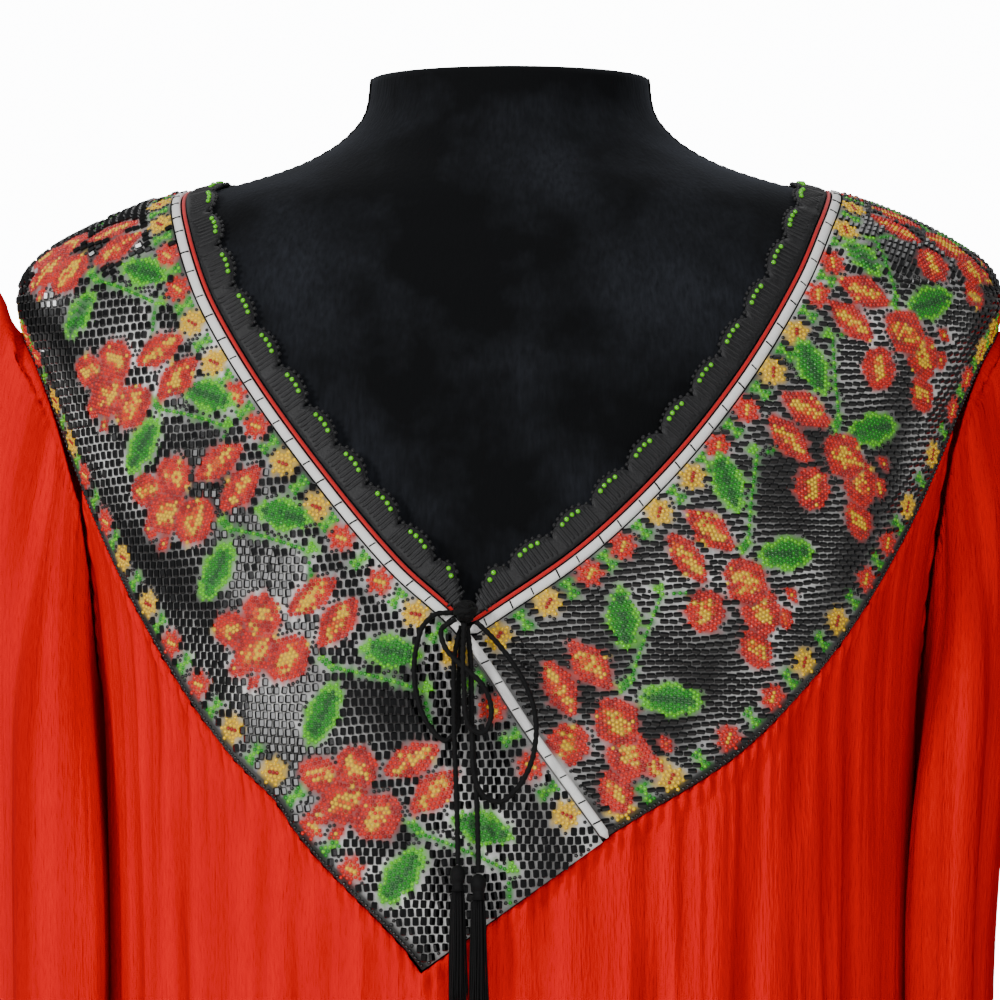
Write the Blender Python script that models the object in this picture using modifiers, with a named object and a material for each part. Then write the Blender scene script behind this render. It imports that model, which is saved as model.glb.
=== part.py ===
"""Red gauze blouse with a beaded yoke, worn by a limbless dress form that stands on z = 0.

Metres, +Z up. The front faces -Y, and left and right are the viewer's, -X and +X.
Places on the yoke are (s, t): s runs along the neckline from the lapped front corner, up the left
side, round the back and down the right side; t runs outwards from the neckline over the shoulders.
Places on a panel are (f, z): f runs round a half section from the left side to the right side.
"""

import math

import bmesh
import bpy
import numpy as np
from mathutils import Matrix

COLLECTION = "beaded_blouse"
MM = 0.001

# Driving sizes
FORM_TOP = 730.4 * MM
HEM_HEIGHT = 35 * MM
CUFF_HEIGHT = 225 * MM
UNDERARM_HEIGHT = 500 * MM
SEAM_GAP = 0.35 * MM
CLOTH = 1.4 * MM
FORM_CLEARANCE = 1.5 * MM
PANEL_LIFT = 2.0 * MM

BAND_WIDTH = 92 * MM
BAND_WALL = 2.2 * MM
BAND_LIFT = 2.8 * MM
LAP_LIFT = 2.8 * MM
LAP_REACH = 20 * MM
TIP_GAP = 2.4 * MM
WHITE_EDGE_WIDTH = 3.5 * MM
WHITE_EDGE_WALL = 1.8 * MM
WHITE_EDGE_GAP = 0.6 * MM
PIPING = (-1.95 * MM, -0.55 * MM)
EDGING_INNER = -2.6 * MM
EDGING_DEPTH = (7.0 * MM, 11.5 * MM)
SCALLOP_PITCH = 19.5 * MM
V_HALF_ANGLE = math.radians(36)

CORD_RADIUS = 1.0 * MM
CORD_LAYER = 2.5 * MM
KNOT = (4.6 * MM, 5.2 * MM, 4.8 * MM)
TASSEL_RADIUS = 2.7 * MM
TASSEL_HEAD = 9 * MM
TASSEL_SKIRT = 42 * MM
TASSEL_STRANDS = 14

# Sections of neck and shoulders: height, half width, front depth, back depth, roundness (mm)
SHOULDERS = (
    (735.0, 54.0, 54.0, 54.0, 2.0),
    (730.0, 54.5, 55.0, 55.0, 2.0),
    (712.0, 60.0, 58.0, 58.0, 2.0),
    (703.0, 70.5, 61.0, 61.0, 2.0),
    (696.0, 84.5, 64.0, 63.5, 2.0),
    (690.0, 103.0, 67.5, 66.5, 2.0),
    (686.0, 119.0, 69.5, 68.5, 2.0),
    (682.0, 134.0, 71.5, 70.5, 2.0),
    (676.0, 150.0, 74.0, 72.5, 2.0),
    (670.0, 162.5, 76.5, 75.0, 2.0),
    (664.0, 173.5, 79.5, 77.0, 2.0),
    (657.0, 182.0, 82.5, 79.0, 2.0),
    (648.0, 186.5, 86.5, 81.0, 2.0),
    (635.0, 185.5, 91.0, 83.5, 2.05),
    (620.0, 180.0, 97.0, 86.5, 2.1),
)
# The blouse as it hangs below them, same columns
WORN_BODY = (
    (600.0, 173.0, 103.5, 89.5, 2.15),
    (580.0, 167.5, 109.5, 92.0, 2.2),
    (540.0, 159.0, 120.0, 94.5, 2.2),
    (500.0, 154.5, 127.0, 96.0, 2.2),
    (440.0, 152.0, 133.0, 98.0, 2.25),
    (380.0, 151.0, 134.5, 101.0, 2.3),
    (300.0, 153.0, 135.0, 106.0, 2.3),
    (200.0, 157.0, 137.0, 113.0, 2.3),
    (100.0, 162.0, 140.0, 121.0, 2.3),
    (35.0, 166.0, 143.0, 126.0, 2.3),
)
# The form inside it, same columns
FORM_BODY = (
    (600.0, 171.0, 101.5, 88.0, 2.15),
    (580.0, 164.5, 106.5, 89.5, 2.2),
    (540.0, 155.0, 116.0, 91.0, 2.2),
    (500.0, 149.5, 122.5, 92.0, 2.2),
    (440.0, 146.0, 127.5, 92.0, 2.2),
    (380.0, 139.0, 118.0, 89.0, 2.2),
    (300.0, 126.0, 100.0, 86.0, 2.2),
    (200.0, 131.0, 102.0, 92.0, 2.2),
    (100.0, 140.0, 108.0, 100.0, 2.2),
    (0.0, 141.0, 109.0, 101.0, 2.2),
)
FORM_RINGS = (0, 25, 100, 180, 260, 330, 390, 440, 490, 540, 585, 620, 640, 652, 661, 669, 676, 683, 689,
              695, 703, 715, 730.4)
FRONT, RIDGE, BACK = -1, 0, 1

# Neckline seen from the front: across, height (mm), and on which side of the shoulder ridge it lies
NECKLINE = (
    (35.0, 450.1, FRONT),
    (8.5, 487.1, FRONT),
    (-15.9, 522.6, FRONT),
    (-40.6, 545.6, FRONT),
    (-70.1, 580.6, FRONT),
    (-94.4, 613.8, FRONT),
    (-110.6, 641.0, FRONT),
    (-119.9, 665.1, FRONT),
    (-121.5, 685.5, RIDGE),
    (-108.0, 676.0, BACK),
    (-82.0, 665.5, BACK),
    (-43.0, 657.0, BACK),
    (0.0, 654.5, BACK),
    (43.0, 657.0, BACK),
    (82.0, 665.5, BACK),
    (108.0, 676.0, BACK),
    (121.5, 685.5, RIDGE),
    (114.5, 667.5, FRONT),
    (105.6, 648.8, FRONT),
    (87.0, 618.2, FRONT),
    (59.0, 582.7, FRONT),
    (25.7, 550.9, FRONT),
    (-2.4, 531.4, FRONT),
    (-15.9, 522.6, FRONT),
    (-34.0, 511.0, FRONT),
)
V_ROW_LEFT, CENTRE_ROW, V_ROW_RIGHT = 2, 12, 23

# Large folds of a panel: place round the half section, half width there, depth (mm, troughs are
# negative), share of the drop where it starts, and sideways drift on the way to the hem
FRONT_FOLDS = (
    (0.155, 0.016, -3.5, 0.08, -0.010),
    (0.225, 0.014, -6.0, 0.10, -0.012),
    (0.290, 0.016, -4.0, 0.22, -0.004),
    (0.345, 0.017, -6.0, 0.05, -0.004),
    (0.425, 0.018, -4.0, 0.15, 0.003),
    (0.500, 0.016, -4.5, 0.25, 0.002),
    (0.590, 0.014, -6.5, 0.02, 0.000),
    (0.665, 0.014, -6.0, 0.01, 0.006),
    (0.720, 0.017, -3.0, 0.12, 0.012),
    (0.790, 0.015, -4.5, 0.03, 0.010),
    (0.850, 0.014, -3.0, 0.14, 0.006),
)
BACK_FOLDS = (
    (0.160, 0.016, -4.0, 0.10, -0.008),
    (0.250, 0.017, -5.5, 0.04, -0.008),
    (0.335, 0.015, -4.0, 0.12, -0.004),
    (0.420, 0.017, -6.0, 0.05, 0.000),
    (0.505, 0.016, -4.0, 0.15, 0.003),
    (0.580, 0.017, -6.0, 0.03, 0.004),
    (0.680, 0.016, -5.0, 0.08, 0.008),
    (0.760, 0.015, -4.0, 0.12, 0.010),
    (0.845, 0.015, -3.5, 0.05, 0.008),
)
# Large folds of a sleeve: place round the tube from the underarm by the front, half width, depth, start
SLEEVE_FOLDS = (
    (0.18, 0.025, -3.5, 0.20),
    (0.33, 0.025, -6.0, 0.06),
    (0.42, 0.022, -4.0, 0.12),
    (0.52, 0.025, -5.5, 0.05),
    (0.61, 0.022, -4.0, 0.15),
    (0.72, 0.025, -6.0, 0.08),
    (0.84, 0.025, -3.5, 0.25),
)
FRONT_GATHERS, BACK_GATHERS, SLEEVE_GATHERS = 25, 18, 10
PANEL_ROWS = (0.0, 0.008, 0.025, 0.08, 0.20, 0.40, 0.68, 1.0)
SLEEVE_ROWS = (0.0, 0.012, 0.03, 0.06, 0.10, 0.16, 0.24, 0.40, 0.66, 1.0)
FRONT_ARMHOLE, BACK_ARMHOLE = 0.092, 0.110
# The gathered head of a sleeve stands up in a roll: share of the drop, outwards, upwards (mm)
SLEEVE_HEAD = (
    (0.0, 0.0, 0.0),
    (0.012, 5.5, 2.0),
    (0.03, 9.5, 25.0),
    (0.06, 11.5, 38.0),
    (0.10, 12.0, 42.0),
    (0.16, 11.0, 36.0),
    (0.24, 7.0, 20.0),
    (0.40, 2.0, 5.0),
    (1.0, 0.0, 0.0),
)
# Sleeve tube: height, half thickness left, half thickness right, half depth (mm)
SLEEVE_TUBE = (
    (560.0, 19.0, 16.0, 46.0),
    (500.0, 19.5, 15.0, 58.0),
    (410.0, 20.0, 12.5, 63.0),
    (300.0, 20.5, 12.5, 66.0),
    (225.0, 21.0, 13.0, 68.0),
)
SLEEVE_SIDE_GAP = 6.0 * MM
SLEEVE_SEAM_LIFT = 4.0 * MM

# Tie cords seen from the front: across, height (mm), from the knot and back to it or to a tassel
KNOT_AT = (-16.2, 529.5)
TIE_ROUTES = {
    "tie_loop_left": (0, ((-28.6, 527.4), (-32.8, 519.2), (-34.2, 510.5), (-32.8, 498.2), (-28.2, 488.1),
                          (-22.4, 484.0), (-19.2, 487.3), (-18.6, 496.0), (-18.4, 505.3), (-17.8, 515.0))),
    "tie_tail_left": (1, ((-19.6, 515.8), (-20.1, 498.3), (-19.8, 482.5), (-19.2, 466.8), (-18.8, 452.9),
                          (-18.6, 441.0))),
    "tie_tail_right": (1, ((-14.4, 514.5), (-13.9, 488.1), (-12.4, 470.3), (-11.6, 450.1), (-11.4, 438.0))),
    "tie_loop_right": (2, ((-5.9, 519.6), (0.4, 511.6), (5.0, 504.0), (8.1, 495.5), (8.8, 486.0),
                           (6.7, 475.6), (1.4, 466.8), (-4.9, 462.7), (-10.2, 465.6), (-13.0, 473.6),
                           (-13.6, 486.0), (-13.9, 501.8), (-14.4, 515.8))),
    "tie_loop_small": (3, ((-24.9, 522.1), (-21.9, 515.1), (-15.1, 508.8), (-9.5, 503.0), (-7.0, 496.0),
                           (-8.3, 488.8), (-11.9, 486.0), (-15.1, 490.6), (-16.4, 501.8), (-16.9, 514.8))),
}
TASSELS = {"tassel_left": "tie_tail_left", "tassel_right": "tie_tail_right"}

# Finishes: colour, roughness
FINISHES = {
    "black_velvet": ((0.012, 0.012, 0.014), 0.90),
    "red_gauze": ((0.80, 0.012, 0.010), 0.85),
    "beadwork": ((0.05, 0.05, 0.05), 0.25),
    "white_cotton": ((0.80, 0.80, 0.78), 0.80),
    "red_cotton": ((0.62, 0.010, 0.012), 0.75),
    "black_cotton": ((0.015, 0.015, 0.016), 0.80),
}


def smooth_step(value):
    """Rises softly from 0 to 1 as value does."""
    value = np.clip(value, 0.0, 1.0)
    return value * value * (3.0 - 2.0 * value)


def curve_through(x, y, at):
    """A smooth curve through the rows (x, y), read at the given places."""
    x, y, at = np.asarray(x, float), np.asarray(y, float), np.asarray(at, float)
    slope = np.gradient(y, x, axis=0)
    i = np.clip(np.searchsorted(x, at) - 1, 0, len(x) - 2)
    step = x[i + 1] - x[i]
    u = (np.clip(at, x[0], x[-1]) - x[i]) / step
    if y.ndim > 1:
        step, u = step[..., None], u[..., None]
    rise = smooth_step(u)
    return (
        y[i] * (1 - rise)
        + y[i + 1] * rise
        + step * (slope[i] * u * (1 - u) ** 2 - slope[i + 1] * u * u * (1 - u))
    )


def section_table(*tables):
    """Rows of sections as one array in metres, lowest first."""
    rows = np.array([row for table in tables for row in table])
    rows[:, :4] *= MM
    return rows[np.argsort(rows[:, 0])]


WORN = section_table(SHOULDERS, WORN_BODY)
FORM = section_table(SHOULDERS, FORM_BODY)


def section(height, side=None, table=WORN):
    """Half width, depth on a side (or both depths) and roundness of the section at a height."""
    width, front, back, roundness = np.moveaxis(curve_through(table[:, 0], table[:, 1:], height), -1, 0)
    if side is None:
        return width, front, back, roundness
    return width, np.where(side < 0, front, back), roundness


def outside(points):
    """How far points lie outside the worn surface, as a share of its size there."""
    x, y, z = np.moveaxis(points, -1, 0)
    width, depth, roundness = section(z, y)
    return ((abs(x) / width) ** roundness + (abs(y) / depth) ** roundness + 1e-12) ** (1 / roundness) - 1


def gradient(points, step=1e-5):
    """Direction in which outside() grows."""
    shifts = np.eye(3) * step
    return np.stack([(outside(points + d) - outside(points - d)) / (2 * step) for d in shifts], -1)


def settle(points, lift=0.0, rounds=6):
    """Points moved onto the worn surface and then out from it by lift."""
    points = np.array(points, float)
    for _ in range(rounds):
        way = gradient(points)
        points = points - (outside(points) / (way ** 2).sum(-1))[..., None] * way
    normal = unit(gradient(points))
    return points + normal * np.asarray(lift)[..., None], normal


def unit(vectors):
    """Vectors at length one."""
    return vectors / np.linalg.norm(vectors, axis=-1, keepdims=True)


def face_point(across, height, side):
    """The point of the worn surface seen at a place from the front or from the back."""
    width, depth, roundness = section(height, side)
    share = np.clip(1 - (abs(across) / width) ** roundness, 0, 1)
    return np.stack([across, side * depth * share ** (1 / roundness), height], -1)


class Yoke:
    """The sheet of the yoke, from which the bands, the trims and the seams are measured."""

    STATION = 4 * MM
    REACH = (-16 * MM, 96 * MM)
    EASE = 6

    def __init__(self):
        rows = np.array(NECKLINE)
        ends = face_point(rows[:, 0] * MM, rows[:, 1] * MM, rows[:, 2])
        knots = np.r_[0, np.cumsum(np.linalg.norm(np.diff(ends, axis=0), axis=1) ** 0.6)]
        fine_at = np.linspace(0, knots[-1], 2400)
        fine = curve_through(knots, ends, fine_at)
        fine, _ = settle(fine)
        run = np.r_[0, np.cumsum(np.linalg.norm(np.diff(fine, axis=0), axis=1))]
        at = np.searchsorted(fine_at, knots)
        self.v_left, self.centre, self.v_right = run[at[[V_ROW_LEFT, CENTRE_ROW, V_ROW_RIGHT]]]
        self.length = run[-1]
        self.s = np.linspace(-self.STATION, self.length, round(self.length / self.STATION) + 2)
        line = np.stack([np.interp(self.s, run, fine[:, k]) for k in range(3)], -1)
        line[0] += (line[1] - line[2]) / np.linalg.norm(line[1] - line[2]) * self.STATION
        line, normal = settle(line)
        out = unit(np.cross(normal, np.gradient(line, axis=0)))
        padded = np.pad(out, ((self.EASE, self.EASE), (0, 0)), mode="edge")
        windows = np.lib.stride_tricks.sliding_window_view(padded, 2 * self.EASE + 1, axis=0)
        out = windows.mean(axis=-1)
        out = unit(out - (out * normal).sum(-1, keepdims=True) * normal)
        steps = round((self.REACH[1] - self.REACH[0]) / self.STATION)
        self.t = np.linspace(*self.REACH, steps + 1)
        zero = int(np.argmin(abs(self.t)))
        self.sheet = np.zeros((len(self.s), len(self.t), 3))
        for way, stop in ((1, len(self.t)), (-1, -1)):
            place, heading = line, out * way
            self.sheet[:, zero] = line
            for column in range(zero + way, stop, way):
                place, normal = settle(place + heading * self.STATION)
                heading = unit(heading - (heading * normal).sum(-1, keepdims=True) * normal)
                self.sheet[:, column] = place

    def point(self, s, t, lift=0.0):
        """The point at (s, t), lifted off the worn surface."""
        s, t = np.broadcast_arrays(np.asarray(s, float), np.asarray(t, float))
        a = (s - self.s[0]) / (self.s[1] - self.s[0])
        b = (t - self.t[0]) / (self.t[1] - self.t[0])
        i = np.clip(a.astype(int), 0, len(self.s) - 2)
        j = np.clip(b.astype(int), 0, len(self.t) - 2)
        u, v = (a - i)[..., None], (b - j)[..., None]
        place = (
            self.sheet[i, j] * (1 - u) * (1 - v)
            + self.sheet[i + 1, j] * u * (1 - v)
            + self.sheet[i, j + 1] * (1 - u) * v
            + self.sheet[i + 1, j + 1] * u * v
        )
        return settle(place, lift, rounds=2)[0]

    def stations(self, start, stop, count):
        """Stations from start to stop, closer together where the yoke bends most."""
        heading = unit(np.gradient(self.sheet, axis=0))
        turn = np.linalg.norm(np.gradient(heading, axis=0), axis=-1)[:, 4:].max(axis=1)
        weight = np.cumsum(turn + 0.6 * turn.mean())
        ends = np.interp((start, stop), self.s, weight)
        return np.interp(np.linspace(*ends, count), weight, self.s)

    def width(self, s):
        """Width of the band, narrower at its two front ends."""
        lapped = 10.5 * MM * (1 - smooth_step(s / (75 * MM)))
        under = 3.5 * MM * smooth_step((s - self.v_right + 60 * MM) / (60 * MM))
        hidden = 1.5 * MM * smooth_step((s - self.v_right) / (2 * MM))
        return BAND_WIDTH - lapped - under - hidden

    def lift(self, s, t):
        """Extra lift of the left band where it lies over the right one."""
        along = 1 - smooth_step((s - self.v_left - 4 * MM) / (30 * MM))
        across = 1 - smooth_step((t - LAP_REACH - 8 * MM) / (30 * MM))
        return LAP_LIFT * along * across


def round_the_half(f, height, side, lift=0.0):
    """The point at a share f of the half section from the left side to the right one."""
    f, height = np.broadcast_arrays(np.asarray(f, float), np.asarray(height, float))
    width, depth, roundness = section(height, side)
    turn = np.cos(math.pi * f)
    x = -width * np.sign(turn) * abs(turn) ** (2 / roundness)
    y = side * depth * abs(np.sin(math.pi * f)) ** (2 / roundness)
    return settle(np.stack([x, y, height], -1), lift, rounds=1)[0]


def share_round(points):
    """The share f of a point on the worn surface."""
    width, _, roundness = section(points[:, 2], points[:, 1])
    turn = -np.sign(points[:, 0]) * np.clip(abs(points[:, 0]) / width, 0, 1) ** (roundness / 2)
    return np.arccos(turn) / math.pi


def lowest_crossing(line, f):
    """The lowest height at which a line of (f, height) passes a share f."""
    heights = []
    for (f0, z0), (f1, z1) in zip(line, line[1:]):
        if min(f0, f1) <= f <= max(f0, f1) and f0 != f1:
            heights.append(z0 + (z1 - z0) * (f - f0) / (f1 - f0))
    return min(heights) if heights else None


def band_outline(yoke, side):
    """The yoke's outer edge on the front or back, as (f, height), a seam's gap outside the bands."""
    def edge(s):
        return yoke.point(s, yoke.width(s) + SEAM_GAP + TIP_GAP * np.exp(-abs(s) / (14 * MM)))

    if side < 0:
        across = np.linspace(1, 0, 24)
        lap = yoke.point(-SEAM_GAP - 0.5 * TIP_GAP * across**3, across * (yoke.width(0.0) + TIP_GAP))
        points = np.concatenate([
            edge(np.linspace(yoke.centre / 2 + 60 * MM, 0, 120)),
            lap,
            edge(np.linspace(yoke.v_right, yoke.centre + 120 * MM, 120)),
        ])
        points = points[points[:, 1] < 0]
    else:
        points = edge(np.linspace(yoke.centre - 240 * MM, yoke.centre + 240 * MM, 200))
        points = points[points[:, 1] > 0]
    return np.stack([share_round(points), points[:, 2]], -1)


def armhole_height(f, edge_f, edge_height):
    """Height of the armhole seam between the underarm, f = 0, and the yoke, f = edge_f."""
    return UNDERARM_HEIGHT + (edge_height - UNDERARM_HEIGHT) * np.clip(f / edge_f, 0, 1) ** 1.6


def panel_top(yoke, side, shares):
    """Height of a panel's top edge at each share: armhole, yoke seam, armhole."""
    line = band_outline(yoke, side)
    edge_f = FRONT_ARMHOLE if side < 0 else BACK_ARMHOLE
    tops = []
    for f in shares:
        if edge_f <= f <= 1 - edge_f:
            tops.append(lowest_crossing(line, f))
        else:
            end = edge_f if f < edge_f else 1 - edge_f
            tops.append(armhole_height(min(f, 1 - f), edge_f, lowest_crossing(line, end)))
    return np.array(tops)


def gathers(around, drop, count, seed):
    """Small waves of the gathered cloth, strongest a little below the seam."""
    turn = 2 * math.pi * around
    phase = 0.9 * np.sin(5 * turn + seed) + 0.6 * np.sin(11 * turn + 2 * seed)
    height = np.interp(drop, (0, 0.02, 0.11, 0.40, 1.0), (0.7, 1.3, 1.5, 0.5, 0.3)) * MM
    return height * np.sin(count * turn + phase)


def folds(around, drop, table):
    """Large soft folds, placed by hand."""
    depth = np.zeros(np.broadcast(around, drop).shape)
    for place, spread, deep, start, *drift in table:
        centre = place + (drift[0] if drift else 0.0) * drop
        grown = smooth_step((drop - start) / 0.25)
        depth += deep * MM * grown * np.exp(-(((around - centre) / spread) ** 2))
    return depth


def displace(grid, amount, closed):
    """A grid of points moved along its own normals, which face away from the garment."""
    if closed:
        along = np.roll(grid, -1, axis=1) - np.roll(grid, 1, axis=1)
    else:
        along = np.gradient(grid, axis=1)
    down = np.gradient(grid, axis=0)
    return grid + unit(np.cross(along, down)) * -amount[..., None]


def panel_grid(yoke, side, columns, rows, table, count):
    """A body panel's outer face, from the yoke and the armholes to the hem."""
    around = np.linspace(0, 1, columns + 1)
    side_gap = 0.0012
    shares = side_gap + around * (1 - 2 * side_gap)
    tops = panel_top(yoke, side, shares)
    drop = np.array(rows)[:, None]
    heights = tops - (tops - HEM_HEIGHT) * drop
    covered = smooth_step((np.minimum(shares, 1 - shares) - 0.10) / 0.10)
    below_cuff = 0.7 * smooth_step((CUFF_HEIGHT - 10 * MM - heights) / (110 * MM))
    covered = np.maximum(covered, below_cuff)
    amount = gathers(shares[None], drop, count, 1.3 if side < 0 else 2.1) * (0.35 + 0.65 * covered)
    amount = amount + folds(shares[None], drop, table) * covered
    flare = np.sin(2 * math.pi * (9 * shares[None] + 0.15)) * 4.5 * MM * smooth_step((drop - 0.3) / 0.7)
    heading = 0.9 * MM * np.exp(-(((drop - 0.008) / 0.006) ** 2))
    amount = amount + flare * covered + heading
    grid = round_the_half(shares[None], heights, side, PANEL_LIFT)
    return displace(grid, amount if side < 0 else -amount, closed=False)


def even_ring(points, columns):
    """A closed line of points read at even steps from its first point."""
    points = np.concatenate([points, points[:1]])
    run = np.r_[0, np.cumsum(np.linalg.norm(np.diff(points, axis=0), axis=1))]
    at = np.linspace(0, run[-1], columns, endpoint=False)
    return np.stack([np.interp(at, run, points[:, k]) for k in range(3)], -1)


def armhole_ring(yoke, hand, columns):
    """The seam round a sleeve's head, from the underarm by the front, over the shoulder and back."""
    def seam(side, edge_f):
        top = panel_top(yoke, side, [edge_f if hand < 0 else 1 - edge_f])[0]
        f = np.linspace(0.004, edge_f - 0.004, 30)
        shares = f if hand < 0 else 1 - f
        return round_the_half(shares, armhole_height(f, edge_f, top), side, SLEEVE_SEAM_LIFT)

    front, back = seam(FRONT, FRONT_ARMHOLE), seam(BACK, BACK_ARMHOLE)[::-1]
    s = np.linspace(0, yoke.centre, 900) if hand < 0 else np.linspace(yoke.length, yoke.centre, 900)
    s = s[abs(s - (yoke.centre if hand > 0 else 0)) > 60 * MM]
    edge = yoke.point(s, yoke.width(s) + SEAM_GAP)
    start = np.linalg.norm(edge - front[-1], axis=1).argmin()
    stop = np.linalg.norm(edge - back[0], axis=1).argmin()
    span = np.linspace(0, 1, 40)
    s = s[start] + (s[stop] - s[start]) * (0.06 + 0.88 * span)
    lift = PANEL_LIFT + 0.2 * MM + 1.8 * MM * abs(2 * span - 1) ** 4
    over = yoke.point(s, yoke.width(s) + 2 * SEAM_GAP, lift)
    return even_ring(np.concatenate([front, over, back]), columns)


def tube_ring(hand, heights, columns):
    """The sleeve's bent oval section, whose points lie at their own heights."""
    table = np.array(SLEEVE_TUBE)[::-1] * MM
    heights = np.minimum(heights, table[-1, 0])
    turn = np.linspace(0, 2 * math.pi, columns, endpoint=False)
    left, right, depth = np.moveaxis(curve_through(table[:, 0], table[:, 1:], heights), -1, 0)
    thick = left if hand < 0 else right
    y = -depth * np.sin(turn)
    width, body_depth, roundness = section(heights, y)
    beside = width * (1 - (abs(y) / body_depth) ** roundness) ** (1 / roundness)
    bulge = np.sign(np.cos(turn)) * abs(np.cos(turn)) ** 0.8
    return np.stack([hand * (beside + SLEEVE_SIDE_GAP + thick * (1 - bulge)), y], -1)


def sleeve_grid(yoke, hand, columns, rows):
    """A sleeve's outer face, from the armhole to the cuff."""
    ring = armhole_ring(yoke, hand, columns)
    around = np.arange(columns) / columns
    top = np.exp(-(((around - 0.49) / 0.10) ** 2))
    head = np.array(SLEEVE_HEAD)
    grid = []
    for drop in rows:
        heights = ring[:, 2] + (CUFF_HEIGHT - ring[:, 2]) * drop
        taken = smooth_step(drop / 0.34)
        flat = ring[:, :2] * (1 - taken) + tube_ring(hand, heights, columns) * taken
        out, up = (np.interp(drop, head[:, 0], head[:, k]) * MM * top for k in (1, 2))
        grid.append(np.stack([flat[:, 0] + hand * out, flat[:, 1], heights + up], -1))
    grid = np.array(grid)
    drop = np.array(rows)[:, None]
    outer = smooth_step((0.5 - abs(around - 0.5) - 0.10) / 0.12)[None]
    amount = 0.9 * gathers(around[None], drop, SLEEVE_GATHERS, 0.7)
    amount = (amount + folds(around[None], drop, SLEEVE_FOLDS)) * outer
    return displace(grid, amount * smooth_step(drop / 0.02) * -hand, closed=True)


def clear_scene():
    """Removes what the file held."""
    for item in list(bpy.data.objects):
        bpy.data.objects.remove(item)


def finish(name):
    """A finish's material, made once."""
    material = bpy.data.materials.get(name)
    if material is None:
        colour, roughness = FINISHES[name]
        material = bpy.data.materials.new(name)
        material.use_nodes = True
        shader = material.node_tree.nodes["Principled BSDF"]
        shader.inputs["Base Color"].default_value = (*colour, 1.0)
        shader.inputs["Roughness"].default_value = roughness
        shader.inputs["Metallic"].default_value = 0.0
    return material


def place(name, mesh, collection, finish_name):
    """An object of its own for a mesh, in the blouse's collection."""
    item = bpy.data.objects.new(name, mesh)
    mesh.materials.clear()
    mesh.materials.append(finish(finish_name))
    collection.objects.link(item)
    return item


def loft(name, grid, closed=False, caps=False):
    """A mesh through rows of points. Its normals are made to agree."""
    shape = bmesh.new()
    rows = [[shape.verts.new(point) for point in row] for row in grid]
    for upper, lower in zip(rows, rows[1:]):
        count = len(upper)
        for k in range(count if closed else count - 1):
            shape.faces.new((upper[k], lower[k], lower[(k + 1) % count], upper[(k + 1) % count]))
    if caps:
        shape.faces.new(rows[0])
        shape.faces.new(reversed(rows[-1]))
    bmesh.ops.recalc_face_normals(shape, faces=shape.faces)
    mesh = bpy.data.meshes.new(name)
    shape.to_mesh(mesh)
    shape.free()
    mesh.shade_smooth()
    return mesh


def cloth(name, outer, thickness, collection, finish_name, closed=False):
    """A cloth wall: its outer face through the rows of points, thickened inwards."""
    mesh = loft(name, outer, closed)
    middle = mesh.polygons[len(mesh.polygons) // 2]
    if settle(np.array(middle.center))[1] @ np.array(middle.normal) < 0 and not closed:
        mesh.flip_normals()
    item = place(name, mesh, collection, finish_name)
    wall = item.modifiers.new("wall", "SOLIDIFY")
    wall.thickness = thickness
    wall.offset = -1.0
    return item


def build_form(collection):
    """The limbless form: neck, shoulders and body, flat at both ends."""
    turn = np.linspace(0, 2 * math.pi, 36, endpoint=False)
    rings = []
    for height in FORM_RINGS:
        height = height * MM
        width, front, back, roundness = section(np.full(turn.shape, height), table=FORM)
        depth = np.where(np.sin(turn) < 0, front, back) - FORM_CLEARANCE
        width = width - FORM_CLEARANCE
        x = width * np.sign(np.cos(turn)) * abs(np.cos(turn)) ** (2 / roundness)
        y = depth * np.sign(np.sin(turn)) * abs(np.sin(turn)) ** (2 / roundness)
        rings.append(np.stack([x, y, np.full(turn.shape, height)], -1))
    place("dress_form", loft("dress_form", rings, closed=True, caps=True), collection, "black_velvet")


def build_panels(yoke, collection):
    """Front and back of red gauze."""
    front = panel_grid(yoke, FRONT, 4 * FRONT_GATHERS, PANEL_ROWS, FRONT_FOLDS, FRONT_GATHERS)
    back = panel_grid(yoke, BACK, 4 * BACK_GATHERS, PANEL_ROWS, BACK_FOLDS, BACK_GATHERS)
    cloth("front_panel", front, CLOTH, collection, "red_gauze")
    cloth("back_panel", back, CLOTH, collection, "red_gauze")


def build_sleeves(yoke, collection):
    """Both sleeves, hanging limp beside the body."""
    for name, hand in (("sleeve_left", -1), ("sleeve_right", 1)):
        grid = sleeve_grid(yoke, hand, 4 * SLEEVE_GATHERS, SLEEVE_ROWS)
        cloth(name, grid, CLOTH, collection, "red_gauze", closed=True)


def strip(yoke, stations, columns, lift):
    """A strip of the yoke: rows of points at the stations, at shares of its width."""
    return [yoke.point(np.full(len(t), s), t, lift(s, t)) for s, t in zip(stations, columns)]


def build_bands(yoke, collection):
    """The two beaded strips. The left one laps over the hidden end of the right one."""
    spans = {
        "beaded_band_left": (0.0, yoke.centre - SEAM_GAP / 2),
        "beaded_band_right": (yoke.centre + SEAM_GAP / 2, yoke.v_right + LAP_REACH),
    }
    for name, (start, stop) in spans.items():
        stations = yoke.stations(start, stop, 44)
        first = WHITE_EDGE_WIDTH + WHITE_EDGE_GAP
        columns = [first + np.linspace(0, 1, 7) * (yoke.width(s) - first) for s in stations]
        raised = yoke.lift if name.endswith("left") else lambda s, t: 0.0 * t
        grid = strip(yoke, stations, columns, lambda s, t: BAND_LIFT + raised(s, t))
        cloth(name, grid, BAND_WALL, collection, "beadwork")


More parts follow.
